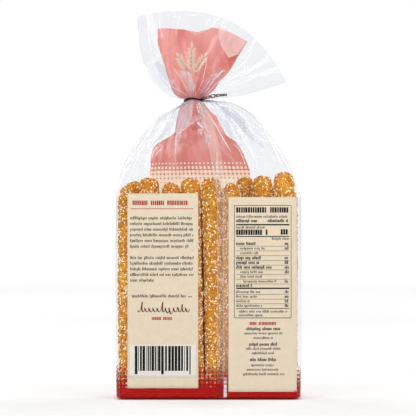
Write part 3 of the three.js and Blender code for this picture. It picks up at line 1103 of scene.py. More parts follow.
def rule(thick_px, left_px, right_px, middle_px):
    """One box: a level line between two pixels."""
    half = thick_px * MM_PER_PX / 2
    middle = up_px(middle_px)
    return [(across_px(left_px), across_px(right_px), middle - half, middle + half)]


def set_lines(rows):
    """The boxes of a table of lines, in its order: each has its style, or a rule's thickness in
    its place, then its left end, right end and middle, all in pixels."""
    boxes = []
    for style, *ends in rows:
        boxes += type_line(style, *ends) if style in TYPE else rule(style, *ends)
    return boxes


black_ink = ink("black_ink", (24, 20, 18))
red_ink = ink("red_ink", (196, 24, 22))
maroon_ink = ink("maroon_ink", (98, 14, 20))
grey_ink = ink("grey_ink", (104, 92, 80))
white_ink = ink("white_ink", (253, 245, 234))

# Paragraphs on the left panel: left, right, first line, pitch, how many lines, end of the last.
PARAGRAPHS = ((130.3, 193.5, 218.4, 5.66, 6, 189.0), (130.3, 193.5, 258.1, 5.63, 5, 155.0))
SIGN_OFF = (("text", 132.0, 186.5, 296.4), (0.6, 188.0, 192.0, 296.8))
lines = []
for left_px, right_px, first_px, pitch_px, count, short_px in PARAGRAPHS:
    for row in range(count):
        stop = short_px if row == count - 1 else right_px
        lines += type_line("text", left_px, stop, first_px + pitch_px * row)
lines += set_lines(SIGN_OFF)

# The table on the right panel: a frame, a heading, bars and rules, then rows with a figure at
# the right of most and a faint rule under each.
FRAME_LEFT, FRAME_RIGHT, FRAME_HIGH, FRAME_LOW = 234.4, 291.2, 205.5, 318.0
FRAME_SIDE = 0.18             # half the thickness of the frame's sides, in millimetres
INSET_PX = (236.2, 289.4)
FIGURE_PX = (284.8, 289.2)
FRAME_ENDS = ((0.5, FRAME_LEFT, FRAME_RIGHT, FRAME_HIGH), (0.6, FRAME_LEFT, FRAME_RIGHT, FRAME_LOW))
HEADING = (
    ("huge", 236.2, 267.5, 210.0), ("huge", 270.2, 288.6, 210.0), ("fine", 236.4, 288.2, 216.9),
    ("bold", 236.2, 258.0, 221.1), ("bold", 267.8, 289.0, 221.1), (1.35, *INSET_PX, 224.8),
    ("fine", 236.2, 265.0, 227.7), ("huge", 236.2, 267.5, 232.3), ("huge", 280.8, 289.2, 232.0),
    (0.9, *INSET_PX, 236.5), ("fine", 272.0, 289.0, 239.0), (1.35, *INSET_PX, 288.4),
    (0.6, *INSET_PX, 308.6),
)
table = set_lines(FRAME_ENDS)
for edge_px in (FRAME_LEFT, FRAME_RIGHT):
    x = across_px(edge_px)
    table.append((x - FRAME_SIDE, x + FRAME_SIDE, up_px(FRAME_LOW), up_px(FRAME_HIGH)))
table += set_lines(HEADING)
faint = []
ROWS = ((243.9, "bold", 236.2, 257.5, 1), (248.6, "fine", 240.5, 264.5, 1),
        (253.4, "fine", 240.5, 258.0, 0), (258.2, "bold", 236.2, 262.0, 1),
        (262.9, "bold", 236.2, 260.0, 1), (267.6, "bold", 236.2, 272.5, 1),
        (272.3, "fine", 240.5, 263.5, 1), (277.0, "fine", 240.5, 263.0, 0),
        (281.7, "fine", 243.5, 277.0, 1), (286.0, "bold", 236.2, 252.5, 0),
        (292.2, "fine", 236.2, 260.5, 1), (296.9, "fine", 236.2, 258.0, 1),
        (301.5, "fine", 236.2, 250.0, 1), (306.0, "fine", 236.2, 262.0, 1))
HEAVY_RULE_ROWS = (286.0, 306.0)   # these have one of the heavy rules under them
UNDER_ROW, FAINT_PX = 2.35, 0.35
for row_px, style, left_px, right_px, figure in ROWS:
    table += type_line(style, left_px, right_px, row_px)
    if figure:
        table += type_line("bold", *FIGURE_PX, row_px)
    if row_px not in HEAVY_RULE_ROWS:
        faint += rule(FAINT_PX, *INSET_PX, row_px + UNDER_ROW)
FOOTNOTE = (("fine", 238.8, 287.5, 311.8), ("fine", 238.8, 262.5, 315.5))
UNDER_TABLE = (
    ("bold", 246.5, 280.0, 329.2), ("fine", 244.0, 282.6, 333.6), ("fine", 253.5, 272.8, 338.2),
    ("bold", 249.2, 277.8, 344.7), ("fine", 246.0, 281.2, 349.0), ("fine", 252.0, 274.0, 353.4),
    ("bold", 250.0, 276.8, 360.0), ("fine", 251.2, 275.4, 365.4), ("fine", 247.0, 280.0, 369.9),
    ("fine", 243.0, 284.5, 374.4),
)
table += set_lines(FOOTNOTE + UNDER_TABLE)
overprint("small_print", boxes_to_grids(lines + table), black_ink)
overprint("table_rules", boxes_to_grids(faint), grey_ink)

# Red headings and the hair rule under the first.
RED_HEADINGS = (("head", 132.6, 187.5, 202.9), (0.55, 130.4, 193.2, 208.8),
                ("caps", 151.8, 172.2, 318.6), ("caps", 249.6, 277.2, 323.6))
overprint("red_headings", boxes_to_grids(set_lines(RED_HEADINGS)), red_ink)

# The bar pattern on its white field: bars one to four modules wide, no figures under it.
# The outer and middle ones are guards, and reach further down.
BARS_LEFT, BARS_RIGHT, BARS_HIGH, BARS_LOW, GUARDS_LOW = 134.8, 190.6, 346.1, 371.0, 374.4
FIELD_LEFT, FIELD_RIGHT, FIELD_HIGH, FIELD_LOW = 128.9, 196.2, 344.7, 377.6
MODULE = 0.45
GUARD_WITHIN = 1.6
bars = []
x, first, end = across_px(BARS_LEFT), across_px(BARS_LEFT), across_px(BARS_RIGHT)
middle = (first + end) / 2
while x < end:
    wide = MODULE * type_rng.choice([1, 2, 3, 4])
    guard = min(abs(x - first), abs(x - middle), abs(end - x - wide)) < GUARD_WITHIN
    low_px = GUARDS_LOW if guard else BARS_LOW
    bars.append((x, min(x + wide, end), up_px(low_px), up_px(BARS_HIGH)))
    x += wide + MODULE * type_rng.choice([1, 1, 2])
field = np.meshgrid(steps(across_px(FIELD_LEFT), across_px(FIELD_RIGHT), 0.8),
                    steps(up_px(FIELD_LOW), up_px(FIELD_HIGH), 2.5))
overprint("bar_field", np.stack(field, -1)[None], white_ink, high=0.02, low=0.025)
overprint("bars", boxes_to_grids(bars), black_ink, high=0.02, low=0.055)


def stroke_grid(u, z, half):
    """A pen stroke along a flat path, thick where half says, as one grid two points wide."""
    du, dz = np.gradient(u), np.gradient(z)
    size = np.hypot(du, dz)
    side = np.stack([-dz / size * half, du / size * half], -1)
    path = np.stack([u, z], -1)
    return np.stack([path - side, path + side])[None]


# A flourish in maroon, as from a pen: one long leaning wave with tall swings and one low one.
PEN_LEFT, PEN_RIGHT, PEN_LOW = 137.5, 188.5, 312.0
SWINGS = 12.5
t = np.linspace(0, 1, 420)
tall = 2.9 + 4.2 * tent(t - 0.05, 0.07) + 4.4 * tent(t - 0.46, 0.06) + 3.6 * tent(t - 0.83, 0.06)
low = 2.6 * tent(t - 0.62, 0.07)
swing = np.sin(2 * np.pi * SWINGS * t)
rise = 0.5 + 0.5 * np.cos(2 * np.pi * SWINGS * t + 2.2)
onward = across_px(PEN_LEFT) + (across_px(PEN_RIGHT) - across_px(PEN_LEFT)) * t
flourish_u = onward + 0.75 * swing + rise * tall * 0.3
flourish_z = up_px(PEN_LOW) + rise * tall - (1 - rise) * low
pen = 0.2 + 0.24 * np.clip(-np.gradient(flourish_z) * 4, 0, 1)
overprint("flourish", stroke_grid(flourish_u, flourish_z, pen), maroon_ink)

# ---- the emblem and the display side ------------------------------------------------------
# Printed like the rest: three ears of wheat in cream on the tail's red, and one ear in red on
# the display side, with a blank red plate over it, plain bars of type and a rule.

EAR_LEAN = 0.62               # the outer ears and the grains lean out by this, in radians


def leaning(angle):
    """The matrix that turns a flat shape to the right by the angle."""
    return np.array([[np.cos(angle), np.sin(angle)], [-np.sin(angle), np.cos(angle)]])


def grains(middle, tall, pairs):
    """An ear of wheat as flat leaf shapes: pairs of grains up a stem, each leaning out, and one
    at the top. A leaf is a line whose half width is a half sine of the way along it."""
    across, along = np.meshgrid(np.linspace(-1, 1, 3), np.linspace(0.0, 1, 9))
    half = np.sin(np.pi * along ** 0.8) + 0.02
    shapes = []
    size = tall / (pairs * 0.62 + 2.1)
    lowest, apart = -0.25 * tall, 0.66 * size
    leaf = np.stack([across * half * size * 0.24, along * size * 1.25], -1)
    for k in range(pairs):
        for side in (-1, 1):
            root = [side * size * 0.1, lowest + k * apart]
            shapes.append(leaf @ leaning(side * EAR_LEAN).T + root)
    top = np.stack([across * half * size * 0.26, along * size * 1.35], -1)
    shapes.append(top + [0, lowest + pairs * apart])
    shapes.append(np.stack([across * size * 0.07, tall * (-0.5 + 0.30 * along)], -1))
    return np.array(shapes) + np.array(middle)


def on_tail(flat, depth):
    """Flat places across and up, in the object's X and Z, as points under the tail's far face:
    the fan's share across and share up that give such a place are found by stepping."""
    x, z = flat[..., 0] - NECK_X, flat[..., 1] - TAIL_FOOT
    away, heading = np.hypot(x, z), np.arctan2(z, x)
    across = np.zeros_like(x)
    for _ in range(30):
        s = away / fan_length(across)
        across = across + 0.5 * (heading - fan_heading(across, s)) / TAIL_SPREAD
    return tail_point(across, 1.0, s) - tail_out(across, 1.0, s) * depth


EMBLEM_PX = (192.0, 61.7)
EMBLEM_ROOT = 10.5            # the ears spring from this far under the emblem's middle
emblem_ink = ink("emblem_ink", (246, 214, 190), 0.45)
ears = []
for lean, tall in ((-EAR_LEAN, 20.0), (0.0, 23.0), (EAR_LEAN, 20.0)):
    ears.append((grains((0, tall / 2), tall, 5) @ leaning(lean).T) * [0.82, 1.0])
emblem_at = [across_px(EMBLEM_PX[0]), up_px(EMBLEM_PX[1]) - EMBLEM_ROOT]
emblem_flat = (np.concatenate(ears) + emblem_at)[:, :, ::-1]
emblem = slabs("tail_emblem", on_tail(emblem_flat, INK_DEPTH - 0.03),
               on_tail(emblem_flat, INK_DEPTH + INK_THICK + 0.03), emblem_flat)
join_pack(emblem, "printed_film", emblem_ink, emblem_ink)

# The plate is a rounded oblong, its top and bottom arched; the line round it is a superellipse.
FAR_MIDDLE = ROUND / 2 + 5.45  # the display strip's middle, flat on the film
PLATE_UP = 128
PLATE_HALF = (29, 14)
LINE_HALF = (27, 12.2)
ARCH = 1.5
plate_across, plate_up = np.meshgrid(np.linspace(-1, 1, 41), np.linspace(-1, 1, 25))
plate_u = plate_across * PLATE_HALF[0] * (1 - 0.10 * plate_up ** 6)
plate_z = plate_up * PLATE_HALF[1] * (1 - 0.10 * plate_across ** 6)
plate_z = plate_z + ARCH * (1 - plate_across ** 2)
plate = np.stack([plate_u, plate_z], -1)[None] + [FAR_MIDDLE, PLATE_UP]
overprint("display_plate", plate, red_ink, high=0.02, low=0.10)
around = np.linspace(0, 2 * np.pi, 161)
rim_u = LINE_HALF[0] * np.sign(np.cos(around)) * np.abs(np.cos(around)) ** 0.32
rim_z = LINE_HALF[1] * np.sign(np.sin(around)) * np.abs(np.sin(around)) ** 0.32
rim_z = rim_z + ARCH * (1 - (rim_u / PLATE_HALF[0]) ** 2)
overprint("plate_line", stroke_grid(rim_u + FAR_MIDDLE, rim_z + PLATE_UP, 0.3), emblem_ink,
          high=0.02, low=0.13)
overprint("display_ear", grains((FAR_MIDDLE, 78), 40.0, 5), red_ink, low=0.10)
# Each bar: its half length, its bottom and its top.
DISPLAY_BARS = ((20, 104.0, 105.8), (13, 100.4, 101.6), (30, 46.0, 46.6), (11, 38.6, 40.4))
display_bars = [(FAR_MIDDLE - half, FAR_MIDDLE + half, bottom, top)
                for half, bottom, top in DISPLAY_BARS]
overprint("display_bars", boxes_to_grids(display_bars), maroon_ink, low=0.10)

# ---- the back seam ------------------------------------------------------------------------
# The film's two long edges are sealed together into a fin, which is folded flat against the
# bag: two more layers of film, standing a little proud, hazier than the rest.

SEAM_FOOT, SEAM_TOP = 0.6, 206.4
SEAM_LIFT = 0.10              # the fin's inner face clears the bag by this
seam_u, seam_level = np.meshgrid(np.linspace(*SEAM, 12), steps(SEAM_FOOT, SEAM_TOP, 1.0))
t = (seam_u - SEAM[0]) / (SEAM[1] - SEAM[0])
wander = 0.25 * np.sin(seam_level / 9.0) * np.sin(seam_level / 23.0)
proud = (0.12 + (0.35 + 0.2 * wander) * np.sin(np.pi * t ** 0.7)) * ease((210 - seam_level) / 12)
seam = bag_skin("back_seam", seam_u / ROUND, seam_level, -(proud + 0.12), proud + 0.12 - SEAM_LIFT)
# The seam's film gives off a faint warm light of its own: painted light.
seam_film = film_finish("seam_film", 0.07, 0.1, 0.4, (255, 234, 212),
                        Emission_Color=linear(255, 222, 190), Emission_Strength=0.2)
join_pack(seam, "clear_film", seam_film, seam_film)


def strips(name, pairs):
    """One mesh of narrow closed strips from pairs of an outer and an inner grid of points."""
    tops, lows = (np.array(part) for part in zip(*pairs))
    return slabs(name, tops, lows, np.zeros(tops.shape[:3] + (2,)))


# Its fold and its free edge show as two light lines.
EDGE_PLACES = (SEAM[0] + 0.2, 10.6)
EDGE_HALF = np.array([0.17, 0, 0])
seam_lines = []
edge_level = steps(2.0, 205, 1.0)
for edge_u in EDGE_PLACES:
    at = bag_folded(edge_u / ROUND, edge_level)
    lift = (0.16 + proud.max(1).mean()) * out_of(bag_folded, edge_u / ROUND, edge_level)
    seam_lines.append([np.stack([at + rise - EDGE_HALF, at + rise + EDGE_HALF], 1)
                       for rise in (lift, 0.8 * lift)])
edge_film = film_finish("seam_edge_film", 0.26, 0.1, 0.4)
join_pack(strips("seam_edges", seam_lines), "clear_film", edge_film, edge_film)

# Where the red base is lapped under the seam it shows through two layers as a pale strip.
LAP = (10.4, 12.9)
LAP_CLEAR, LAP_RED = (250, 240, 240), (222, 150, 152)
lap_u, lap_level = np.meshgrid(np.linspace(*LAP, 6), steps(0.8, up_px(377.5), 1.0))
lap_strip = bag_skin("seam_lap", lap_u / ROUND, lap_level, -0.09, 0.06)
lap_ink = ink("lapped_ink", LAP_RED, 0.3, 0.2)
x, z = flat_place(lap_ink)
dropped = z + DROP * MM
dots = gingham_cover((x, dropped), 1.15 - dropped / (16 * MM))
lap_ink.feed("Base Color", lap_ink.mix(dots, linear(*LAP_CLEAR), linear(*LAP_RED)))
join_pack(lap_strip, "printed_film", lap_ink, lap_ink)

# ---- the loose layers and creases ---------------------------------------------------------
# Where the film was gathered it lies folded over itself: long tongues that run down from the
# tie and up into the tail, one skin more, paler where the print shows through them. Sharp
# creases have whitened: fine ridges of film white from crazing, which give off painted light.
# Some of the white ridges near the tie are painted highlights.

LONGEST_STEP = 50             # how many of its own differences a parameter moves at most at once


def place_on(surface, x, z, first, second, step_first, step_second):
    """The two parameters of the surface's point that stands at x across and z up: Newton's
    steps, from a first guess, with the slopes taken as differences."""
    first = np.full(np.shape(x), float(first))
    second = np.full(np.shape(x), float(second))
    most_first, most_second = LONGEST_STEP * step_first, LONGEST_STEP * step_second
    for _ in range(16):
        here = surface(first, second)
        by_first = (surface(first + step_first, second) - here) / step_first
        by_second = (surface(first, second + step_second) - here) / step_second
        miss_x, miss_z = x - here[..., 0], z - here[..., 2]
        scale = by_first[..., 0] * by_second[..., 2] - by_second[..., 0] * by_first[..., 2]
        scale = np.where(np.abs(scale) < 1e-6, 1e-6, scale)
        more_first = (miss_x * by_second[..., 2] - miss_z * by_second[..., 0]) / scale
        more_second = (miss_z * by_first[..., 0] - miss_x * by_first[..., 2]) / scale
        first = first + np.clip(more_first, -most_first, most_first)
        second = second + np.clip(more_second, -most_second, most_second)
    return first, second


EYE_Z = up_px(208)
EYE_AWAY = 1727               # millimetres from the eye to the pack's near face


def in_view(path_px, count, deep):
    """A smooth run of points through a few given ones, across and up in millimetres, at a
    depth in the pack: each is scaled about the eye's height by its distance."""
    path = np.array(path_px, float)
    knots = np.arange(len(path))
    along = np.linspace(0, len(path) - 1, count)
    away = 1 + (deep + BODY_DEEP / 2) / EYE_AWAY
    x = across_px(np.interp(along, knots, path[:, 0])) * away
    z = EYE_Z + (up_px(np.interp(along, knots, path[:, 1])) - EYE_Z) * away
    return x, z


def near_shoulder(x, z):
    """The share round the bag and the level of a place on its near side."""
    return place_on(bag_base, x, z, 0.0, 180.0, 1e-3, 0.2)


def near_tail(x, z):
    """The share across and the share up of a place on the tail's near face."""
    return place_on(lambda across, s: tail_point(across, -1.0, s), x, z, 0.1, 0.5, 1e-3, 1e-3)


def on_shoulder(f, level, lift):
    """Points that stand off the bag by the lift."""
    return bag_folded(f, level) + out_of(bag_folded, f, level) * lift


def on_near_tail(across, s, lift):
    """Points that stand off the tail's near face by the lift."""
    return tail_point(across, -1.0, s) + tail_out(across, -1.0, s) * lift


def on_far_tail(across, s, lift):
    """Points that stand off the tail's far face by the lift."""
    return tail_point(across, 1.0, s) + tail_out(across, 1.0, s) * lift


SHOULDER_DEEP, TAIL_DEEP = -12, -2   # about where the near film stands, for in_view
TONGUE_ROWS, TONGUE_COLUMNS = 50, 14
TONGUE_THICK = 0.03


def tongue(name, left_px, right_px, find, carry, rise, finish, deep):
    """A loose layer between two edges: it lies close along both and stands off by rise between
    them, with a ripple of its own."""
    left_x, left_z = (way[:, None] for way in in_view(left_px, TONGUE_ROWS, deep))
    right_x, right_z = (way[:, None] for way in in_view(right_px, TONGUE_ROWS, deep))
    t = np.linspace(0, 1, TONGUE_COLUMNS)[None]
    first, second = find(left_x + (right_x - left_x) * t, left_z + (right_z - left_z) * t)
    down = np.linspace(0, 1, TONGUE_ROWS)[:, None]
    arch = np.sin(np.pi * t) * np.sin(np.pi * (0.1 + 0.8 * down))
    lift = (0.1 + rise * arch * (1 + 0.35 * np.sin(9 * t + 7 * down)))[..., None]
    made = slab(name, carry(first, second, lift), carry(first, second, lift - TONGUE_THICK),
                np.stack([first * 40, second], -1))
    return join_pack(made, "clear_film", finish, finish)


tongue_film = film_finish("tongue_film", 0.15, 0.2, 0.35)
# The milky tongue gives off a faint pink light of its own: painted light.
milky_self_lit_tongue = film_finish("milky_tongue_film", 0.34, 0.0, 0.5, (255, 222, 218),
                           Emission_Color=linear(255, 222, 218), Emission_Strength=0.08)
thin_tongue = film_finish("thin_tongue_film", 0.02, 0.7, 0.16)
# Each tongue: its left edge and its right edge from end to end, how far it stands off, its film.
NECK_TONGUES = (
    ("tongue_1", ((184.2, 100.8), (181.5, 107), (178.6, 116), (176.6, 126), (175.3, 135)),
     ((193.2, 100.2), (193.4, 107), (192.3, 116), (190.6, 123.5), (178, 134)), 0.5, tongue_film),
    ("tongue_2", ((195.5, 101), (198, 106), (199.5, 112), (194, 119), (190.5, 123)),
     ((202, 100.5), (206, 107), (207.5, 113), (204, 118), (192.5, 123.5)), 0.9, thin_tongue),
    ("tongue_3", ((197, 122), (196, 126), (197, 132), (200, 140), (205, 150)),
     ((205, 118), (207.5, 124), (209, 130), (212, 140), (207, 151)), 0.8, thin_tongue),
    ("tongue_4", ((204, 100.5), (209, 106), (216, 116), (226, 130), (236, 146)),
     ((213, 99), (222, 103), (236, 113), (247, 129), (240, 150)), 1.0, thin_tongue),
    ("tongue_5", ((175.5, 135), (175.3, 142), (175.3, 150), (175.5, 158), (175.6, 165)),
     ((181, 131), (181.5, 139), (181, 148), (179, 157), (176.2, 166)), 0.3, thin_tongue),
    ("tongue_6", ((177, 107), (171, 115), (165, 123), (158, 133), (151, 143)),
     ((182, 104), (179, 114), (175, 123), (169, 133), (153, 145)), 0.6, thin_tongue),
    ("tongue_7", ((219, 104), (232, 110), (243, 119), (253, 132), (264, 147)),
     ((213, 102), (225, 111), (237, 123), (247, 136), (262, 149)), 0.6, thin_tongue),
)
for name, left_px, right_px, *rest in NECK_TONGUES:
    tongue(name, left_px, right_px, near_shoulder, on_shoulder, *rest, SHOULDER_DEEP)
TAIL_TONGUES = (
    ("tail_tongue_1", ((219, 26), (218, 36), (220.5, 46), (226.5, 55)),
     ((247.0, 41), (243.5, 47.5), (238, 54.5), (229, 58)), 0.3, milky_self_lit_tongue),
    ("tail_tongue_2", ((199, 92), (205, 84), (210, 76), (214, 68)),
     ((206, 95), (214, 87), (221, 78), (227, 69)), 0.8, thin_tongue),
    ("tail_tongue_3", ((190, 94), (187, 86), (183.5, 78), (181, 71)),
     ((196.5, 94), (195.5, 86), (193, 79), (189, 72)), 0.6, tongue_film),
    ("tail_tongue_4", ((206, 95), (218, 88), (232, 80), (247, 73)),
     ((208, 97), (224, 94), (242, 90), (260, 86)), 0.6, thin_tongue),
    ("tail_tongue_5", ((178, 95), (168, 88), (158, 77), (151, 64)),
     ((184, 95), (176, 84), (168, 72), (161, 60)), 0.5, thin_tongue),
)
for name, left_px, right_px, *rest in TAIL_TONGUES:
    tongue(name, left_px, right_px, near_tail, on_near_tail, *rest, TAIL_DEEP)


def crease_and_glint_finish():
    """Film whitened by crazing: white, half see-through, and giving off painted light of its own.
    """
    white = linear(252, 251, 252)
    crazed = Finish("crazed_and_glint_film", Roughness=0.35, Base_Color=white, Emission_Color=white,
                    Emission_Strength=0.4)
    broken = crazed.noise(700.0, 2.0).spread(0.3, 0.7)
    crazed.feed("Alpha", 0.2 + 0.5 * broken)
    return crazed


RIDGE_STEPS = 24
RIDGE_TOP, RIDGE_FOOT = 0.16, 0.10


def unit(ways):
    """Rows of directions, each made one long."""
    return ways / np.maximum(np.linalg.norm(ways, axis=1, keepdims=True), 1e-9)


def ridge(first, second, wide, carry):
    """A thin ridge along a path of places on a surface: a strip whose half width swells from
    nothing to wide and back, standing a little above the film."""
    points = carry(first, second, np.full((len(first), 1), RIDGE_TOP))
    base = carry(first, second, np.full((len(first), 1), RIDGE_FOOT))
    ahead = unit(np.gradient(points, axis=0))
    out = unit(points - base)
    half = wide * np.sin(np.pi * np.linspace(0.06, 0.94, len(first))) ** 0.5
    side = np.cross(out, ahead) * half[:, None]
    top = np.stack([points - side, points + side], 1)
    low = np.stack([base - side, base + side], 1)
    return top[:, ::-1], low[:, ::-1]


# Each crease: the points it runs through, then its width. Some near the tie are painted
# highlights: white ridges where the film catches the light.
SHOULDER_CREASES = (
    (((175.6, 136), (182, 131), (190.5, 124), (196, 120.5), (203, 116.5), (207, 112)), 0.34),
    (((196.5, 104), (197.5, 108), (199, 112), (204, 115)), 0.5),
    (((197, 122.5), (200, 125.5), (204, 128)), 0.8),
    (((205.5, 110), (211, 118), (217, 128), (224, 141), (231, 152)), 0.4),
    (((175.4, 136), (175.3, 145), (175.3, 154), (175.6, 165)), 0.28),
    (((217.2, 152), (216.9, 165), (216.8, 178), (216.9, 190)), 0.28),
    (((152, 158), (154, 151), (158, 146)), 0.5), (((147, 164), (149, 158), (150, 152)), 0.45),
    (((155, 157), (158, 152), (163, 148)), 0.32), (((172, 108), (165, 118), (158, 130)), 0.3),
    (((182, 103), (174, 116), (168, 130), (162, 134)), 0.3),
    (((204, 101), (216, 103), (230, 108), (243, 117)), 0.34),
    (((206, 104), (218, 110), (232, 122), (243, 137)), 0.3),
    (((228, 120), (240, 134), (250, 150), (258, 165)), 0.3),
    (((262, 128), (268, 137), (275, 150), (280, 164)), 0.36),
    (((271, 143), (277, 153), (283, 168)), 0.3), (((258, 136), (264, 141), (272, 141)), 0.4),
    (((232, 144), (238, 148), (242, 156), (246, 166)), 0.34),
    (((140, 150), (137, 158), (133, 170)), 0.3), (((160, 118), (152, 128), (146, 138)), 0.26),
    (((228, 181), (240, 186), (251, 196)), 0.25),
)
TAIL_MARKS = (
    (((205, 94), (211, 84), (217, 76), (223, 70)), 0.5),
    (((208, 93), (216, 84), (224, 77)), 0.4),
    (((217.5, 78), (221, 72), (226, 70)), 0.6), (((219, 17), (214, 24), (211, 27)), 0.3),
    (((198, 92), (203, 80), (206, 66), (206, 52)), 0.25),
    (((190, 95), (184, 84), (178, 74), (172, 66)), 0.3),
    (((186, 95), (174, 88), (163, 78), (155, 66)), 0.3),
    (((207, 97), (225, 90), (243, 84), (262, 82)), 0.34),
    (((213, 92), (230, 80), (248, 68), (262, 62)), 0.28),
    (((236, 70), (246, 60), (254, 48)), 0.28), (((160, 15), (160, 27), (163, 38)), 0.26),
    (((146, 20), (147, 34), (152, 50)), 0.3), (((150, 56), (156, 70), (165, 82)), 0.3),
    (((258, 72), (268, 70), (280, 74)), 0.24), (((188, 30), (196, 34), (206, 31)), 0.22),
)
CREASES_DEEP = -14
ridges = []
for path_px, wide in SHOULDER_CREASES:
    places = near_shoulder(*in_view(path_px, RIDGE_STEPS, CREASES_DEEP))
    ridges.append(ridge(*places, wide / 2, on_shoulder))
for path_px, wide in TAIL_MARKS:
    places = near_tail(*in_view(path_px, RIDGE_STEPS, TAIL_DEEP))
    ridges.append(ridge(*places, wide / 2, on_near_tail))

# On the other side they fall at random, mostly up and down.
FAR_CREASES, FAR_TAIL_CREASES = 44, 24
ridge_rng = np.random.default_rng(77)
share = np.linspace(0, 1, RIDGE_STEPS)
for _ in range(FAR_CREASES):
    start_f, start_level = ridge_rng.uniform(0.2, 0.8), ridge_rng.uniform(146, 196)
    reach = ridge_rng.uniform(3, 16)
    lean = ridge_rng.normal(0, 0.035)
    round_bag = start_f + lean * share + 0.006 * np.sin(3 * share)
    ridges.append(ridge(round_bag, start_level + reach * share, ridge_rng.uniform(0.1, 0.22),
                        on_shoulder))
for _ in range(FAR_TAIL_CREASES):
    start_across, start_s = ridge_rng.uniform(-0.9, 0.9), ridge_rng.uniform(0.1, 0.8)
    lean = ridge_rng.normal(0, 0.1)
    reach = ridge_rng.uniform(0.05, 0.18)
    ridges.append(ridge(start_across + lean * share, start_s + reach * share,
                        ridge_rng.uniform(0.1, 0.2), on_far_tail))
crazed = crease_and_glint_finish()
join_pack(strips("creases", ridges), "clear_film", crazed, crazed)

# The base's block fold runs out to its corners as sharp bright lines, each through three flat
# places on the film: ridges in a lighter red ink that paints their highlight.
BASE_FOLDS = (
    ((-65.5, 1.4), (-60.5, 3.8), (-55.4, 6.8)), ((-63.2, 2.4), (-62.6, 7.0), (-62.9, 12.0)),
    ((60.0, 6.2), (63.4, 4.2), (66.0, 1.6)), ((62.6, 2.2), (63.4, 8.0), (63.2, 13.0)),
)
folds = []
for path in BASE_FOLDS:
    along = np.linspace(0, 2, RIDGE_STEPS)
    flat_u, level = (np.interp(along, (0, 1, 2), way) for way in zip(*path))
    folds.append(ridge(flat_u / ROUND, level, 0.3, on_shoulder))
fold_highlight_ink = ink("folded_ink_painted_highlight", (226, 52, 38), 0.35)
join_pack(strips("base_folds", folds), "printed_film", fold_highlight_ink, fold_highlight_ink)

# Inside the tie the film is crammed in pleats: tubes one in another, each a wavy ring whose
# radius opens as the square of the way from the tie. Each: its share of the neck's radius, how
# many pleats it has, and its film.
crammed = film_finish("crammed_film", 0.03, 0.5, 0.3)
GATHERS = ((0.84, 19, crammed), (0.62, 14, strip_pink), (0.40, 9, strip_pink), (0.18, 5, crammed))
GATHER_UP, GATHER_DOWN = 5.0, 2.6
GATHER_ROWS, GATHER_COLUMNS = 21, 180
ALL_FIELD = 0.19              # a height on the flat film, in metres, that is printed all over
turn, up = np.meshgrid(np.linspace(0, 2 * np.pi, GATHER_COLUMNS, endpoint=False),
                       np.linspace(-1, 1, GATHER_ROWS))
tied = TIE_Z + TIE_RISE * np.sin(turn) ** 2
quads = grid_faces(GATHER_ROWS, GATHER_COLUMNS)[0]
for number, (share, pleats, finish) in enumerate(GATHERS):
    radius = NECK_THICK * share * (1 + 0.8 * up ** 2)
    radius = radius + 0.45 * np.cos(pleats * turn + 2 * up) * (1 + up ** 2)
    points = np.stack([NECK_X + radius * np.cos(turn), radius * np.sin(turn),
                       tied + np.where(up > 0, GATHER_UP, GATHER_DOWN) * up], -1)
    tube = piece(f"neck_gather_{number + 1}", points.reshape(-1, 3), quads)
    flat = tube.data.uv_layers.new(name="flat")
    flat.data.foreach_set("uv", np.full(2 * quads.size, ALL_FIELD, np.float32))
    join_pack(tube, "clear_film", finish)

# ---- the twist tie ------------------------------------------------------------------------
# A wire between two strips of black paper film, bent once round the neck and its ends twisted
# together. The strip is flat, with the wire showing as a low ridge down its middle.

TIE_RADIUS = 6.45
TIE_WIDE = 1.8
RING_STEPS = 96
END_STEPS = 90
END_HALF_WIDE = 0.85
END_TURNS = 2.4


def strip_section(columns=10):
    """Half width and thickness round a flat strip with a ridge on both faces."""
    turn = np.linspace(0, 2 * np.pi, columns, endpoint=False)
    return np.cos(turn), 0.22 * np.sin(turn) * (1 + 0.9 * (1 - np.abs(np.cos(turn))))


def tie_finish():
    """Black paper film, scuffed grey where its ends were twisted between finger and thumb."""
    tie = Finish("tie_strip", Roughness=0.32, Specular_IOR_Level=0.22)
    worn = tie.noise(900.0, 3.0).spread(0.5, 0.75)
    twisted = tie.ordinate("X").spread(-0.0042, -0.0022)
    black = tie.mix(worn, linear(9, 7, 7), linear(36, 28, 26))
    dusty = tie.mix(worn, linear(104, 90, 84), linear(196, 184, 180))
    tie.feed("Base Color", tie.mix(twisted, black, dusty))
    tie.feed("Normal", tie.bump(tie.noise(1500.0, 2.0), 0.0003))
    return tie


tie_black = tie_finish()
flat_way, thick_way = strip_section()
section_count = len(flat_way)
turn = np.linspace(0, 2 * np.pi, RING_STEPS, endpoint=False)[:, None]
wave = 0.12 * np.sin(3 * turn + 1) + TIE_RISE * np.sin(turn) ** 2
radius = TIE_RADIUS + thick_way[None] + 0.12 * np.sin(5 * turn)
half_way = TIE_WIDE / 2 * flat_way[None] * (1 + 0.3 * np.sin(2 * turn + 0.97))
ring = np.stack([radius * np.cos(turn), radius * np.sin(turn), half_way + wave], -1)
ring = ring + [NECK_X, 0, TIE_Z]
quads = grid_faces(RING_STEPS, section_count, loop=True)[0]
tie_ring = piece("tie_ring", ring.reshape(-1, 3), quads[:, ::-1])
join_pack(tie_ring, "tie_strip", tie_black)
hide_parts("twist_tie")

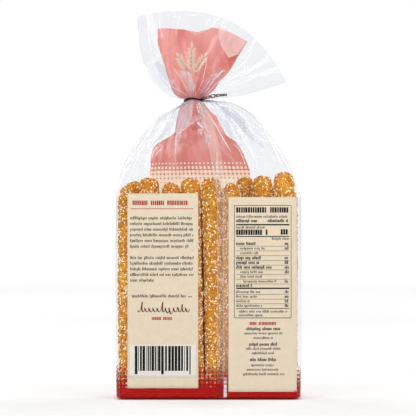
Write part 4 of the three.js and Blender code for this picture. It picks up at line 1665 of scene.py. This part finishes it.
# The ends: two strips wound round each other along one curve, splayed at the tip. The curve is
# a parabola between two of three points, drawn towards the one between.
END_PATH = np.array([[-5.4, -4.4, 210.8], [2.0, -8.8, 213.6], [13.0, -9.4, 213.9]])
share = np.linspace(0, 1, END_STEPS)[:, None]
path = ((1 - share) ** 2 * END_PATH[0] + 2 * share * (1 - share) * END_PATH[1]
        + share ** 2 * END_PATH[2])
ahead = unit(np.gradient(path, axis=0))
level_way = unit(np.cross(ahead, [0, 0, 1.0]))
upright = np.cross(level_way, ahead)
for number, phase in ((1, 0.0), (2, np.pi)):
    wind = 2 * np.pi * END_TURNS * share + phase
    apart = 0.4 + 0.75 * tent(share - 0.5, 0.3) + 0.2 * ease((share - 0.9) / 0.1)
    to_side = np.cos(wind) * level_way + np.sin(wind) * upright
    to_flat = -np.sin(wind) * level_way + np.cos(wind) * upright
    centre = path + to_side * apart
    points = (centre[:, None] + to_flat[:, None] * (END_HALF_WIDE * flat_way)[None, :, None]
              + to_side[:, None] * thick_way[None, :, None])
    quads, triangles = grid_faces(END_STEPS, section_count, close_start=True, close_end=True)
    strand = piece(f"tie_end_{number}", np.concatenate([points.reshape(-1, 3), centre[[0, -1]]]),
                   quads, triangles)
    join_pack(strand, "tie_strip", tie_black)

# ---- the set: floor, light and camera -----------------------------------------------------
# The pack stands on a pale studio floor that runs out into a white backdrop, under two large
# softboxes in front, a small one above and two behind that light it through the film.

FLOOR_RADIUS = 6.0
FLOOR_Z = -0.0003
FLOOR_PALE = (0.6, 0.6, 0.6, 1)
# Under the pack's footprint the floor gives off only a dark red: painted shade under the base.
PAINTED_SHADE_UNDER_PACK = (84, 10, 6)
# The floor's own light, as (share of the way out from the middle, grey): lower near the pack,
# a painted shadow, and rising far out so that the whole floor shows white.
FLOOR_LIGHT_AND_PAINTED_SHADOW = ((0.0, 0.38), (0.022, 0.38), (0.032, 0.41), (0.042, 0.44), (0.208, 0.46),
               (0.313, 0.62), (0.478, 0.83), (1.0, 1.0))
bpy.ops.mesh.primitive_circle_add(vertices=96, radius=FLOOR_RADIUS, fill_type="NGON",
                                  location=(0, 0, FLOOR_Z))
floor = bpy.context.object
floor.name = "studio_floor"
pale = Finish("pale_floor", Roughness=0.7, Emission_Strength=1.0)
away = pale.node("ShaderNodeVectorMath", {"operation": "LENGTH"}, {0: pale.place()}, "Value")
across_floor, along_floor = pale.ordinate("X"), pale.ordinate("Y")
past_side = across_floor.joined("ABSOLUTE", across_floor) - half_wide * MM
past_front = along_floor.joined("ABSOLUTE", along_floor) - half_deep * MM
clear_of_pack = past_side.joined("MAXIMUM", past_side, past_front).spread(-0.003, 0.002)
# Behind the pack the floor gives off a little more: painted light that fills in the shadows cast
# there.
behind = along_floor.spread(-0.03, 0.05) * (1 - away.spread(0.18, 0.27)) * 0.06
stops = [(at, (grey, grey, grey, 1)) for at, grey in FLOOR_LIGHT_AND_PAINTED_SHADOW]
bright = pale.node("ShaderNodeValToRGB", {"stops": stops}, {0: away / FLOOR_RADIUS}) + behind
pale.feed("Emission Color", pale.mix(clear_of_pack, linear(*PAINTED_SHADE_UNDER_PACK), bright))
pale.feed("Base Color", pale.mix(away.spread(2.0, 5.0), FLOOR_PALE, (0, 0, 0, 1)))
floor.data.materials.append(pale.material)

# The backdrop is full white to the camera, dimmer in reflections and dim as a light.
BACKDROP_LIGHT, BACKDROP_MIRRORED = 0.22, 0.52
world = bpy.data.worlds.new("studio")
bpy.context.scene.world = world
backdrop = Nodes(world, "Background")
backdrop.shader.inputs["Color"].default_value = (1.0, 1.0, 1.0, 1)
glossy_ray = backdrop.node("ShaderNodeLightPath", {}, {}, "Is Glossy Ray")
camera_ray = backdrop.node("ShaderNodeLightPath", {}, {}, "Is Camera Ray")
shown = (glossy_ray * BACKDROP_MIRRORED + camera_ray).held()
backdrop.feed("Strength", BACKDROP_LIGHT + (1 - BACKDROP_LIGHT) * shown)

PACK_MIDDLE = np.array([0, 0, 0.13])


def softbox(name, place, size, power):
    """A square softbox looking at the pack's middle."""
    light = bpy.data.lights.new(name, "AREA")
    light.size = size
    light.energy = power
    lamp = bpy.data.objects.new(name, light)
    bpy.context.scene.collection.objects.link(lamp)
    lamp.location = place
    aim = Vector(PACK_MIDDLE - np.array(place))
    lamp.rotation_euler = aim.to_track_quat("-Z", "Y").to_euler()


softbox("key", (-1.2, -1.4, 1.4), 1.3, 15)
softbox("fill", (1.3, -1.2, 1.1), 1.3, 10)
softbox("top", (0.1, -0.45, 0.95), 0.6, 2.4)
softbox("rear_left", (-1.2, 1.3, 0.9), 1.1, 12)
softbox("rear_right", (1.3, 1.2, 0.9), 1.1, 12)

# The camera looks level at the pack's near side, where one pixel is MM_PER_PX wide.
FRAME_WIDE = 416
CAMERA_AWAY = 1.75
to_near_face = CAMERA_AWAY - BODY_DEEP / 2 * MM
camera_data = bpy.data.cameras.new("camera")
camera_data.lens = camera_data.sensor_width * to_near_face / (FRAME_WIDE * MM_PER_PX * MM)
camera_data.clip_end = 50
camera = bpy.data.objects.new("camera", camera_data)
bpy.context.scene.collection.objects.link(camera)
camera.location = (across_px(FRAME_WIDE / 2) * MM, -CAMERA_AWAY, EYE_Z * MM)
camera.rotation_euler = (np.pi / 2, 0, 0)
scene = bpy.context.scene
scene.camera = camera
scene.view_settings.view_transform = "Standard"
scene.cycles.transparent_max_bounces = 32
scene.cycles.max_bounces = 16
scene.cycles.glossy_bounces = 8
